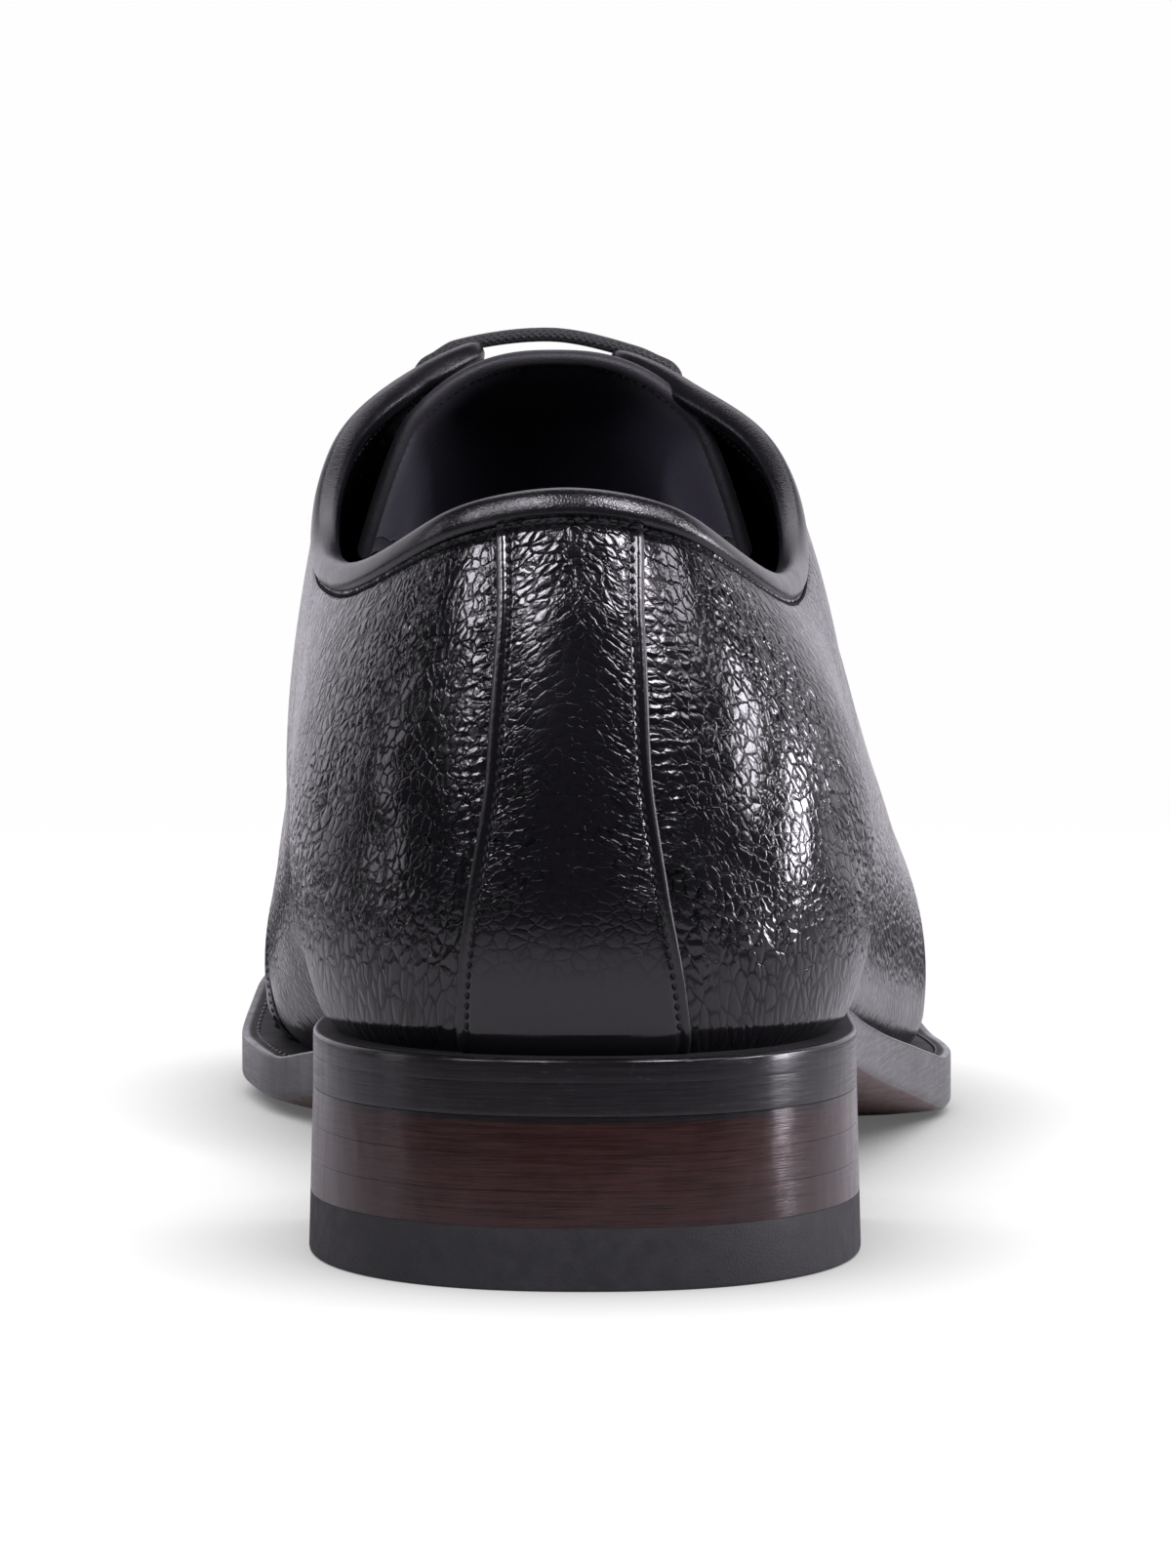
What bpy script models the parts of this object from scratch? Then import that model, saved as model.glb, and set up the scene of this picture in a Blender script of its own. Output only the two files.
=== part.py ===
"""A right-foot plain-toe oxford: welted leather sole, stacked heel and laced upper.

Sizes are in millimetres and MM turns them into Blender's metres. "Along" runs from the
back of the heel to the tip of the toe, "across" runs from the heel's middle line, minus
to the inner (medial) side of the foot and plus to the outer (lateral) side.
"""

import math
from collections import namedtuple

import bmesh
import bpy
import numpy as np
from mathutils import Vector

MM = 0.001
GAP = 0.3  # clear space between two pieces that meet

# Driving sizes of the shoe
LENGTH = 304.0
HEEL_AXIS = -0.8  # the heel's middle line, from the middle of the shoe's width
HEEL_BREAST = 66.0  # where the heel ends, along the shoe
HEEL_FLARE = 0.5  # the heel is this much wider at the floor than at the sole
BREAST_HOLLOW = 2.5
TOP_PIECE = 7.0
LIFT_COUNT = 3
HEEL_SEAT = 19.6  # height of the outsole's underside over the heel
WELT = 2.5
TREAD_EDGE = 13.0  # width of the rim where the tread curls up
UPPER_WALL = 2.0
UPPER_CLEAR = 0.5  # from the welt up to the upper's bottom edge
OVERLAY_WALL = 1.0
OVERLAY_CLEAR = 0.4  # from the upper out to an overlay
INSOLE_RISE = 1.4  # the insole stands this far above the welt
INSOLE_CLEAR = 2.9  # from the upper's bottom edge in to the insole's edge
BINDING_RADIUS = 1.75
BINDING_CLEAR = 0.65  # from the upper's edge to the binding
TONGUE_WALL = 1.6
EYELET_PAIRS = 5
EYELET_RADIUS = 2.0
EYELET_SETBACK = 8.0  # from the facing's edge to an eyelet's middle
LACE_RADIUS = 0.95
LACE_ARCH = 0.06  # rise of a bar over the throat, as a share of its span

# How round the ends of the sole are in plan
HEEL_ROUND = 44.0
HEEL_FULLNESS = 2.25
TOE_ROUND = 52.0
TOE_FULLNESS = 2.3

# Mesh steps
SOLE_STEPS = 60
HEEL_STEPS = 16
RIB_STEPS = 2
CORNER_STEPS = 4  # between the front of the collar and the top of the facing
WALL_STEPS = (0.0, 0.12, 0.38, 0.7, 1.0)  # from the bottom edge up to the widest line
CROWN_STEPS = 8  # from the widest line up to the top edge
WALL_SHARE = 0.3
LACE_STEPS = 14

# The sole's two edges before the ends are rounded, and the ledge of welt outside the upper
Plan = namedtuple("Plan", "along medial lateral ledge")
PLAN = (
    Plan(0, 32.5, 32.5, 1.3),
    Plan(45, 32.5, 32.5, 1.3),
    Plan(70, 31.2, 32.8, 1.6),
    Plan(95, 28.8, 35.4, 2.2),
    Plan(120, 28.6, 39.4, 2.8),
    Plan(145, 32.6, 44.2, 3.5),
    Plan(170, 40.2, 49.6, 4.2),
    Plan(197, 48.6, 54.2, 5.0),
    Plan(226, 52.6, 52.2, 5.4),
    Plan(252, 52.0, 46.0, 5.5),
    Plan(280, 48.6, 37.4, 5.5),
    Plan(304, 43.0, 29.0, 5.5),
)

# Height of the tread over the floor, the outsole's thickness, and how far the tread curls up
# at its two edges
Profile = namedtuple("Profile", "along tread thick curl_medial curl_lateral")
PROFILE = (
    Profile(0, HEEL_SEAT, 3.7, 0, 0),
    Profile(66, HEEL_SEAT, 3.7, 0, 0),
    Profile(82, 18.0, 3.8, 0, 0),
    Profile(105, 14.2, 4.0, 0.3, 0.2),
    Profile(130, 9.8, 4.4, 0.8, 0.4),
    Profile(152, 5.9, 5.0, 1.3, 0.6),
    Profile(172, 2.2, 5.6, 1.8, 0.8),
    Profile(187, 0.0, 6.0, 2.2, 0.9),
    Profile(215, 0.0, 6.2, 2.2, 1.0),
    Profile(235, 2.0, 6.2, 1.9, 1.2),
    Profile(262, 6.5, 6.0, 1.4, 1.3),
    Profile(286, 11.0, 5.6, 1.2, 1.2),
    Profile(304, 14.6, 5.4, 1.2, 1.2),
)

# Ribs of the upper, heel to toe. A rib leaves the welt at "foot" along the shoe, swells by
# "bulge" at a height of "rise" on each side, and ends at the top edge: "top" along, "high"
# over the floor, "half" to each side of "middle". The lateral top edge lies "drop" lower than
# the medial one. "crown" is 1 for an upright collar and 2 for a wall that rounds over to the
# middle line.
Rib = namedtuple(
    "Rib",
    "name foot bulge_medial rise_medial bulge_lateral rise_lateral top high drop middle half crown",
)
RIBS = (
    Rib("heel_back", 4.5, 3.0, 19, 3.0, 19, 7.8, 86.2, 0.0, -2.0, 0.0, 1.0),
    Rib("heel_curve", 7.2, 3.2, 19, 3.2, 19, 10.0, 85.3, 0.0, -2.0, 11.2, 1.0),
    Rib("heel_round", 17, 3.6, 19, 3.6, 19, 17.0, 82.6, 0.2, -2.2, 18.2, 1.0),
    Rib("heel_side", 36, 3.8, 20, 3.8, 18, 32.5, 79.0, 0.6, -2.6, 25.0, 1.0),
    Rib("ankle_dip", 60, 5.6, 25, 3.8, 17, 56.0, 76.8, 1.2, -3.6, 29.6, 1.0),
    Rib("ankle_rise", 82, 9.0, 30, 3.0, 17, 79.0, 81.5, 0.2, -4.0, 30.9, 1.05),
    Rib("collar_front", 100, 11.8, 33, 2.2, 17, 96.0, 93.4, -0.4, -3.9, 28.8, 1.15),
    Rib("corner", 113, 13.6, 33, 1.7, 17, 109.0, 102.8, 1.0, -5.4, 20.8, 1.35),
    Rib("facing_top", 125, 14.2, 31, 1.5, 16, 120.0, 108.7, 1.0, -5.1, 11.4, 1.6),
    Rib("facing_upper", 140, 13.2, 27, 1.5, 15, 132.0, 100.2, 0.4, -5.4, 10.2, 1.7),
    Rib("facing_middle", 158, 10.8, 22, 1.4, 14, 147.0, 88.0, 0.2, -5.5, 8.2, 1.8),
    Rib("facing_low", 178, 7.0, 17, 1.3, 12, 162.0, 75.6, 0.0, -5.6, 6.2, 1.9),
    Rib("throat_base", 192, 4.2, 14, 1.2, 11, 171.5, 68.4, 0.0, -5.7, 4.4, 1.95),
    Rib("vamp_edge", 204, 2.2, 12, 1.1, 10, 178.0, 64.2, 0.0, -5.8, 0.0, 2.0),
    Rib("ball", 222, 0.8, 10, 1.1, 10, 200.0, 55.8, 0.0, -6.0, 0.0, 2.1),
    Rib("toe_joint", 246, 1.0, 9, 1.0, 9, 227.0, 48.8, 0.0, -6.3, 0.0, 2.2),
    Rib("toe_box", 270, 1.2, 8, 1.2, 8, 250.0, 44.6, 0.0, -6.7, 0.0, 2.25),
    Rib("toe_corner", 289, 1.2, 8, 1.2, 8, 268.0, 41.6, 0.0, -7.0, 0.0, 2.25),
    Rib("toe_tip", 298.4, 1.2, 8, 1.2, 8, 276.0, 40.2, 0.0, -7.0, 0.0, 2.2),
)
RIB_NAMES = [rib.name for rib in RIBS]
COLLAR_RIB = RIB_NAMES.index("collar_front")
CORNER_RIB = RIB_NAMES.index("corner")
FACING_RIB = RIB_NAMES.index("facing_top")
THROAT_RIB = RIB_NAMES.index("throat_base")
VAMP_RIB = RIB_NAMES.index("vamp_edge")
TOE_RIB = len(RIBS) - 1

# The back strip at a share of the rib's height: its middle and half its width, counted in ribs
# from the heel's back
Strip = namedtuple("Strip", "along middle half")
STRIP = (
    Strip(0.0, -0.10, 1.04),
    Strip(0.12, -0.12, 0.93),
    Strip(0.3, -0.14, 0.77),
    Strip(0.55, -0.12, 0.64),
    Strip(0.8, -0.06, 0.63),
    Strip(1.0, 0.0, 0.70),
)
STRIP_STEPS = 6

# The binding is a full roll round the collar and a fine bead down the facings
FACING_BEAD = 0.55

# Arches of the tongue from its root under the vamp to its free top
Arch = namedtuple("Arch", "along crest half drop")
TONGUE = (
    Arch(186, 56.4, 15.0, 3.6),
    Arch(172, 64.4, 17.0, 4.4),
    Arch(158, 75.8, 19.0, 5.6),
    Arch(143, 88.3, 21.0, 7.6),
    Arch(129, 99.2, 22.2, 11.0),
    Arch(118, 105.4, 22.8, 15.5),
    Arch(108.5, 109.2, 23.2, 19.4),
)
TONGUE_MIDDLE = -5.2
TONGUE_CURVE = 2.3
TONGUE_STEPS = 10

Finish = namedtuple("Finish", "color roughness")
FINISHES = {
    "grain_leather": Finish((0.012, 0.012, 0.014), 0.38),
    "smooth_leather": Finish((0.016, 0.016, 0.018), 0.42),
    "tongue_leather": Finish((0.012, 0.012, 0.015), 0.6),
    "lace_cord": Finish((0.010, 0.010, 0.012), 0.7),
    "edge_dressing": Finish((0.018, 0.016, 0.018), 0.35),
    "sole_leather": Finish((0.085, 0.040, 0.028), 0.5),
    "lift_leather": Finish((0.060, 0.024, 0.020), 0.4),
    "heel_rubber": Finish((0.020, 0.021, 0.023), 0.6),
    "sock_leather": Finish((0.014, 0.014, 0.018), 0.65),
}


def through(xs, ys):
    """A smooth curve through the points that never overshoots them."""
    xs = np.asarray(xs, float)
    ys = np.asarray(ys, float)
    steps = np.diff(xs)
    slopes = np.diff(ys) / steps
    tangents = np.zeros(len(xs))
    tangents[0] = slopes[0]
    tangents[-1] = slopes[-1]
    for i in range(1, len(xs) - 1):
        if slopes[i - 1] * slopes[i] > 0:
            before = 2 * steps[i] + steps[i - 1]
            after = steps[i] + 2 * steps[i - 1]
            tangents[i] = (before + after) / (before / slopes[i - 1] + after / slopes[i])

    def at(x):
        i = int(np.clip(np.searchsorted(xs, x) - 1, 0, len(steps) - 1))
        t = (x - xs[i]) / steps[i]
        return (
            ys[i] * (1 + 2 * t) * (1 - t) ** 2
            + ys[i + 1] * t * t * (3 - 2 * t)
            + steps[i] * t * (1 - t) * (tangents[i] * (1 - t) - tangents[i + 1] * t)
        )

    return at


def table_curve(rows, column):
    return through([row.along for row in rows], [getattr(row, column) for row in rows])


edge_medial = table_curve(PLAN, "medial")
edge_lateral = table_curve(PLAN, "lateral")
welt_ledge = table_curve(PLAN, "ledge")
tread_height = table_curve(PROFILE, "tread")
outsole_thickness = table_curve(PROFILE, "thick")
tread_curl = {1: table_curve(PROFILE, "curl_lateral"), -1: table_curve(PROFILE, "curl_medial")}
strip_middle = table_curve(STRIP, "middle")
strip_half = table_curve(STRIP, "half")


def outsole_top(along):
    return tread_height(along) + outsole_thickness(along)


def welt_bottom(along):
    return outsole_top(along) + GAP


def welt_top(along):
    return welt_bottom(along) + WELT


# Plan outlines. A plan is (start, end, inset): where it starts and ends along the shoe, and
# how far its sides lie inside the sole's edge at a place along the shoe.


def sole_plan(inset):
    return HEEL_FLARE + inset, LENGTH - inset, lambda along: inset


def upper_plan(inset):
    return RIBS[0].foot + inset, RIBS[-1].foot - inset, lambda along: welt_ledge(along) + inset


def end_rounding(along, start, end):
    """From 0 at the two ends of a plan to 1 where its sides run on."""
    share = 1.0
    heel = 1 - (along - start) / HEEL_ROUND
    if heel > 0:
        share *= max(0.0, 1 - heel**HEEL_FULLNESS) ** (1 / HEEL_FULLNESS)
    toe = 1 - (end - along) / TOE_ROUND
    if toe > 0:
        share *= max(0.0, 1 - toe**TOE_FULLNESS) ** (1 / TOE_FULLNESS)
    return share


def sole_middle(along):
    return (edge_lateral(along) - edge_medial(along)) / 2


def plan_across(along, side, plan):
    """Where a plan's edge runs across the shoe. side is 1 for lateral and -1 for medial."""
    start, end, inset = plan
    half = (edge_lateral(along) + edge_medial(along)) / 2 - inset(along)
    return sole_middle(along) + side * half * end_rounding(along, start, end)


def plan_loop(plan):
    """Points round a plan: out along the lateral side to the toe and back along the medial one."""
    start, end, _ = plan
    share = [(1 - math.cos(math.pi * i / SOLE_STEPS)) / 2 for i in range(SOLE_STEPS + 1)]
    stations = [start + (end - start) * s for s in share]
    out = [(plan_across(along, 1, plan), along) for along in stations]
    back = [(plan_across(along, -1, plan), along) for along in reversed(stations[1:-1])]
    return out + back


# Ribs of the upper


def rib_column(column, parity):
    """A table column as a curve over the rib number, mirrored past the heel and the toe."""
    values = [getattr(rib, column) for rib in RIBS]
    before = [parity * v for v in values[2:0:-1]]
    after = [parity * v for v in values[-2:-4:-1]]
    return through(range(-2, len(values) + 2), before + values + after)


def foot_curve():
    """The ribs' feet along the shoe. The cosine keeps them evenly spread round both ends."""
    first, last = RIBS[0].foot, RIBS[-1].foot
    turn = [math.acos(1 - 2 * (rib.foot - first) / (last - first)) for rib in RIBS]
    before = [-t for t in turn[2:0:-1]]
    after = [2 * math.pi - t for t in turn[-2:-4:-1]]
    angle = through(range(-2, len(turn) + 2), before + turn + after)
    return lambda r: first + (last - first) * (1 - math.cos(angle(r))) / 2


rib_foot = foot_curve()
rib_top = rib_column("top", 1)
rib_high = rib_column("high", 1)
rib_drop = rib_column("drop", 1)
rib_middle = rib_column("middle", 1)
rib_half = rib_column("half", -1)
rib_crown = rib_column("crown", 1)
rib_bulge = {1: rib_column("bulge_lateral", 1), -1: rib_column("bulge_medial", 1)}
rib_rise = {1: rib_column("rise_lateral", 1), -1: rib_column("rise_medial", 1)}


def foot_point(r, side):
    along = rib_foot(r)
    return np.array([plan_across(along, side, upper_plan(0)), along])


def foot_outward(r, side):
    """The plan direction that points out of the upper at a rib's foot."""
    if r < 0.01:
        return np.array([0.0, -1.0])
    if r > TOE_RIB - 0.01:
        return np.array([0.0, 1.0])
    run = foot_point(r + 0.01, side) - foot_point(r - 0.01, side)
    out = np.array([run[1], -run[0]]) * side
    return out / np.linalg.norm(out)


def rib_point(r, side, t):
    """A point of the upper's outer face. t is 0 at the welt and 1 at the top edge."""
    foot = foot_point(r, side)
    foot_z = welt_top(foot[1]) + UPPER_CLEAR
    wide = foot + foot_outward(r, side) * rib_bulge[side](r)
    wide_z = foot_z + rib_rise[side](r)
    if t <= WALL_SHARE:
        up = t / WALL_SHARE
        plan = foot + (wide - foot) * (1 - (1 - up) ** 2)
        return np.array([*plan, foot_z + (wide_z - foot_z) * up])
    top = np.array([rib_middle(r) + side * rib_half(r), rib_top(r)])
    crown = rib_crown(r)
    turn = (t - WALL_SHARE) / (1 - WALL_SHARE)
    roll = min(1.0, crown - 1)
    up = (1 - roll) * turn + roll * math.sin(turn * math.pi / 2)
    share = max(0.0, 1 - up * up) ** (1 / crown)
    plan = top + (wide - top) * np.array([share, share ** (1 + roll)])
    top_z = rib_high(r) - side * rib_drop(r) / 2
    return np.array([*plan, wide_z + (top_z - wide_z) * up])


def rib_normal(r, side, t):
    """The outward normal of the upper's outer face."""
    step = 0.02
    low, high = max(0.0, t - step), min(1.0, t + step)
    along = rib_point(r + step, side, t) - rib_point(r - step, side, t)
    up = rib_point(r, side, high) - rib_point(r, side, low)
    normal = np.cross(along, up) * side
    return normal / np.linalg.norm(normal)


def below_edge(r, side, distance):
    """The place on a rib at a distance below its top edge, measured along the rib."""
    shares = np.linspace(1, 0.5, 60)
    points = [rib_point(r, side, t) for t in shares]
    run = 0.0
    for i in range(1, len(points)):
        run += np.linalg.norm(points[i] - points[i - 1])
        if run >= distance:
            return shares[i]
    return shares[-1]


RIB_SHARES = [WALL_SHARE * t for t in WALL_STEPS] + [
    WALL_SHARE + (1 - WALL_SHARE) * (i + 1) / CROWN_STEPS for i in range(CROWN_STEPS)
]


def ribs_between(first, last):
    ribs = [float(first)]
    for r in range(first, last):
        steps = CORNER_STEPS if COLLAR_RIB <= r < FACING_RIB else RIB_STEPS
        ribs += [r + (i + 1) / steps for i in range(steps)]
    return ribs


# Making meshes


def new_collection(name):
    collection = bpy.data.collections.new(name)
    bpy.context.scene.collection.children.link(collection)
    return collection


def new_material(name):
    finish = FINISHES[name]
    material = bpy.data.materials.new(name)
    material.use_nodes = True
    shader = material.node_tree.nodes["Principled BSDF"]
    shader.inputs["Base Color"].default_value = (*finish.color, 1)
    shader.inputs["Roughness"].default_value = finish.roughness
    material.diffuse_color = (*finish.color, 1)
    return material


def in_place(point):
    """A shoe point in millimetres as a Blender point in metres."""
    across, along, up = point
    return Vector((across + HEEL_AXIS, along - LENGTH / 2, up)) * MM


def add_object(name, bm, material):
    mesh = bpy.data.meshes.new(name)
    bm.to_mesh(mesh)
    bm.free()
    mesh.shade_smooth()
    mesh.set_sharp_from_angle(angle=math.radians(35))
    mesh.materials.append(materials[material])
    made = bpy.data.objects.new(name, mesh)
    made.parent = shoe_root
    shoe.objects.link(made)
    return made


def bridge_loops(bm, lower, upper):
    """Side faces between two loops of vertices that run the same way round."""
    count = len(lower)
    for i in range(count):
        j = (i + 1) % count
        bm.faces.new((lower[i], lower[j], upper[j], upper[i]))


def ladder_cap(bm, loop, upward):
    """A face across a plan loop, in rungs from its lateral side to its medial side."""
    count = len(loop)
    for i in range(count // 2):
        corners = [loop[i], loop[i + 1], loop[count - i - 1], loop[-i % count]]
        rung = list(dict.fromkeys(corners))
        bm.faces.new(rung if upward else rung[::-1])


def plan_solid(name, layers, material):
    """A solid from the floor side up. A layer is a plan and its height at a place along."""
    bm = bmesh.new()
    loops = [
        [bm.verts.new(in_place((x, along, height(x, along)))) for x, along in plan_loop(plan)]
        for plan, height in layers
    ]
    for lower, upper in zip(loops, loops[1:]):
        bridge_loops(bm, lower, upper)
    ladder_cap(bm, loops[0], False)
    ladder_cap(bm, loops[-1], True)
    return add_object(name, bm, material)


def plan_ring(name, layers, material):
    """A ring: its layers run up its outer side and down its inner side."""
    bm = bmesh.new()
    loops = [
        [bm.verts.new(in_place((x, along, height(x, along)))) for x, along in plan_loop(plan)]
        for plan, height in layers
    ]
    for lower, upper in zip(loops, loops[1:] + loops[:1]):
        bridge_loops(bm, lower, upper)
    return add_object(name, bm, material)


def fill_columns(bm, columns):
    """Faces between columns of vertices that run up the upper, heel to toe on the lateral side."""
    for near, far in zip(columns, columns[1:]):
        for i in range(len(near) - 1):
            corners = list(dict.fromkeys((near[i], far[i], far[i + 1], near[i + 1])))
            if len(corners) > 2:
                bm.faces.new(corners)


def wall_surface(name, rows, shares, material):
    """An open patch of the upper's outer face. A row is a list of (rib, side) round the shoe."""
    bm = bmesh.new()
    columns = []
    shared = {}
    for r, side in rows:
        column = []
        for t in shares:
            joined = r <= 0 or r >= TOE_RIB or (t == 1.0 and r >= VAMP_RIB)
            key = (r, 0 if joined else side, t)
            if key not in shared:
                shared[key] = bm.verts.new(in_place(rib_point(r, side, t)))
            column.append(shared[key])
        columns.append(column)
    fill_columns(bm, columns)
    return add_object(name, bm, material)


def give_wall(made, thickness, side):
    """Turns an open patch into a wall, outward for side 1 and inward for side -1."""
    wall = made.modifiers.new("wall", "SOLIDIFY")
    wall.thickness = thickness * MM
    wall.offset = side
    wall.use_even_offset = True
    return wall


def stand_off(made, distance):
    lift = made.modifiers.new("stand_off", "DISPLACE")
    lift.strength = distance * MM
    lift.mid_level = 0.0


def cord(name, points, radius, material, scale=None):
    """A round cord along points, each with its own share of the radius."""
    curve = bpy.data.curves.new(name, "CURVE")
    curve.dimensions = "3D"
    curve.bevel_depth = radius * MM
    curve.bevel_resolution = 2
    curve.use_fill_caps = True
    spline = curve.splines.new("POLY")
    spline.points.add(len(points) - 1)
    for i, point in enumerate(points):
        spline.points[i].co = (*in_place(point), 1)
        spline.points[i].radius = scale[i] if scale else 1.0
    curve.materials.append(materials[material])
    made = bpy.data.objects.new(name, curve)
    made.parent = shoe_root
    shoe.objects.link(made)
    return made


# Pieces of the sole


def level(height_along, rise=0.0):
    """A layer's height that is the same right across the shoe."""
    return lambda across, along: height_along(along) + rise


def curled_tread(rise):
    """The tread's height at its edge, where it curls up off the floor."""
    return lambda across, along: (
        tread_height(along) + tread_curl[1 if across > sole_middle(along) else -1](along) + rise
    )


def make_outsole():
    layers = [
        (sole_plan(TREAD_EDGE), level(tread_height)),
        (sole_plan(0.9), curled_tread(0.1)),
        (sole_plan(0), curled_tread(0.9)),
        (sole_plan(0), level(outsole_top)),
    ]
    plan_solid("outsole", layers, "sole_leather")


def make_welt():
    edge_round = 0.6
    inner = upper_plan(INSOLE_CLEAR - GAP)
    layers = [
        (sole_plan(0), level(welt_bottom)),
        (sole_plan(0), level(welt_top, -edge_round)),
        (sole_plan(edge_round), level(welt_top)),
        (inner, level(welt_top)),
        (inner, level(welt_bottom)),
    ]
    plan_ring("welt", layers, "edge_dressing")


def make_insole():
    plan = upper_plan(INSOLE_CLEAR)
    layers = [(plan, level(welt_bottom)), (plan, level(welt_top, INSOLE_RISE))]
    plan_solid("insole", layers, "sock_leather")


def heel_loop(grow):
    """The heel's outline, from the back round the lateral side, the breast and the medial side."""
    start, end, inset = sole_plan(-grow)
    turns = [math.pi / 2 * i / HEEL_STEPS for i in range(HEEL_STEPS + 1)]
    stations = [start + (HEEL_BREAST - start) * (1 - math.cos(a)) for a in turns]
    plan = (start, end, inset)
    lateral = [(plan_across(along, 1, plan), along) for along in stations]
    medial = [(plan_across(along, -1, plan), along) for along in reversed(stations[1:])]
    breast = []
    for share in (0.25, 0.5, 0.75):
        across = lateral[-1][0] + (medial[0][0] - lateral[-1][0]) * share
        breast.append((across, HEEL_BREAST - BREAST_HOLLOW * 4 * share * (1 - share)))
    return lateral + breast + medial


def heel_layer(name, levels, material):
    """A slab of the heel. A level is its height over the floor and how far it is drawn in."""
    bm = bmesh.new()
    loops = []
    for height, inset in levels:
        grow = HEEL_FLARE * (1 - height / HEEL_SEAT) - inset
        loops.append([bm.verts.new(in_place((x, along, height))) for x, along in heel_loop(grow)])
    for lower, upper in zip(loops, loops[1:]):
        bridge_loops(bm, lower, upper)
    bm.faces.new(loops[0][::-1])
    bm.faces.new(loops[-1])
    add_object(name, bm, material)


def make_heel():
    heel_layer("heel_top_piece", [(0, 0.3), (0.3, 0), (TOP_PIECE, 0)], "heel_rubber")
    lift = (HEEL_SEAT - TOP_PIECE - GAP * (LIFT_COUNT + 1)) / LIFT_COUNT
    for i in range(LIFT_COUNT):
        low = TOP_PIECE + GAP + i * (lift + GAP)
        heel_layer(f"heel_lift_{i + 1}", [(low, 0), (low + lift, 0)], "lift_leather")


# Pieces of the upper


def make_upper():
    lateral = [(r, 1) for r in ribs_between(0, TOE_RIB)]
    medial = [(r, -1) for r in reversed(ribs_between(0, TOE_RIB))]
    upper = wall_surface("upper", lateral + medial[1:], RIB_SHARES, "grain_leather")
    give_wall(upper, UPPER_WALL, -1)
    return upper


def make_back_strip():
    bm = bmesh.new()
    columns = []
    for i in range(-STRIP_STEPS, STRIP_STEPS + 1):
        column = []
        for t in RIB_SHARES[1:]:
            r = strip_middle(t) + strip_half(t) * i / STRIP_STEPS
            column.append(bm.verts.new(in_place(rib_point(abs(r), 1 if r > 0 else -1, t))))
        columns.append(column)
    fill_columns(bm, columns)
    strip = add_object("back_strip", bm, "grain_leather")
    stand_off(strip, OVERLAY_CLEAR)
    give_wall(strip, OVERLAY_WALL, 1)


def make_vamp():
    lateral = [(r, 1) for r in ribs_between(VAMP_RIB, TOE_RIB)]
    medial = [(r, -1) for r in reversed(ribs_between(VAMP_RIB, TOE_RIB))]
    vamp = wall_surface("vamp", lateral + medial[1:], RIB_SHARES[1:], "grain_leather")
    stand_off(vamp, OVERLAY_CLEAR)
    give_wall(vamp, OVERLAY_WALL, 1)


def binding_share(r):
    """The binding's size over its full roll: it fines down past the corner of the facing."""
    past = min(1.0, max(0.0, (r - CORNER_RIB) / (FACING_RIB - CORNER_RIB + 0.5)))
    return 1 - (1 - FACING_BEAD) * past


def binding_point(r, side):
    """The binding's middle: over the middle of the wall's edge, clear of it."""
    edge = rib_point(r, side, 1)
    onward = edge - rib_point(r, side, RIB_SHARES[-2])
    onward /= np.linalg.norm(onward)
    outward = np.cross(rib_point(r + 0.1, side, 1) - rib_point(r - 0.1, side, 1), onward) * side
    outward /= np.linalg.norm(outward)
    radius = BINDING_RADIUS * binding_share(r)
    return edge - outward * UPPER_WALL / 2 + onward * (radius + BINDING_CLEAR)


def make_binding():
    run = [(r, -1) for r in reversed(ribs_between(0, THROAT_RIB))]
    run += [(r, 1) for r in ribs_between(0, THROAT_RIB)[1:]]
    points = [binding_point(r, side) for r, side in run]
    scale = [binding_share(r) for r, _ in run]
    cord("collar_binding", points, BINDING_RADIUS, "smooth_leather", scale)


def make_tongue():
    bm = bmesh.new()
    rows = []
    for arch in TONGUE:
        row = []
        for i in range(TONGUE_STEPS + 1):
            share = 2 * i / TONGUE_STEPS - 1
            across = TONGUE_MIDDLE + arch.half * share
            up = arch.crest - arch.drop * abs(share) ** TONGUE_CURVE
            row.append(bm.verts.new(in_place((across, arch.along, up))))
        rows.append(row)
    for near, far in zip(rows, rows[1:]):
        for i in range(TONGUE_STEPS):
            bm.faces.new((near[i], near[i + 1], far[i + 1], far[i]))
    bmesh.ops.recalc_face_normals(bm, faces=bm.faces)
    if sum(face.normal.z for face in bm.faces) < 0:
        bmesh.ops.reverse_faces(bm, faces=bm.faces)
    tongue = add_object("tongue", bm, "tongue_leather")
    give_wall(tongue, TONGUE_WALL, -1)


# Eyelets and laces


def eyelet_ribs():
    """Ribs through the eyelets, evenly spread down the facing."""
    first, last = FACING_RIB + 0.18, THROAT_RIB - 0.25
    return [first + (last - first) * i / (EYELET_PAIRS - 1) for i in range(EYELET_PAIRS)]


def eyelet(r, side):
    """The middle of an eyelet on the outer face, and the way out of the shoe there."""
    t = below_edge(r, side, EYELET_SETBACK)
    return rib_point(r, side, t), rib_normal(r, side, t)


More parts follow.
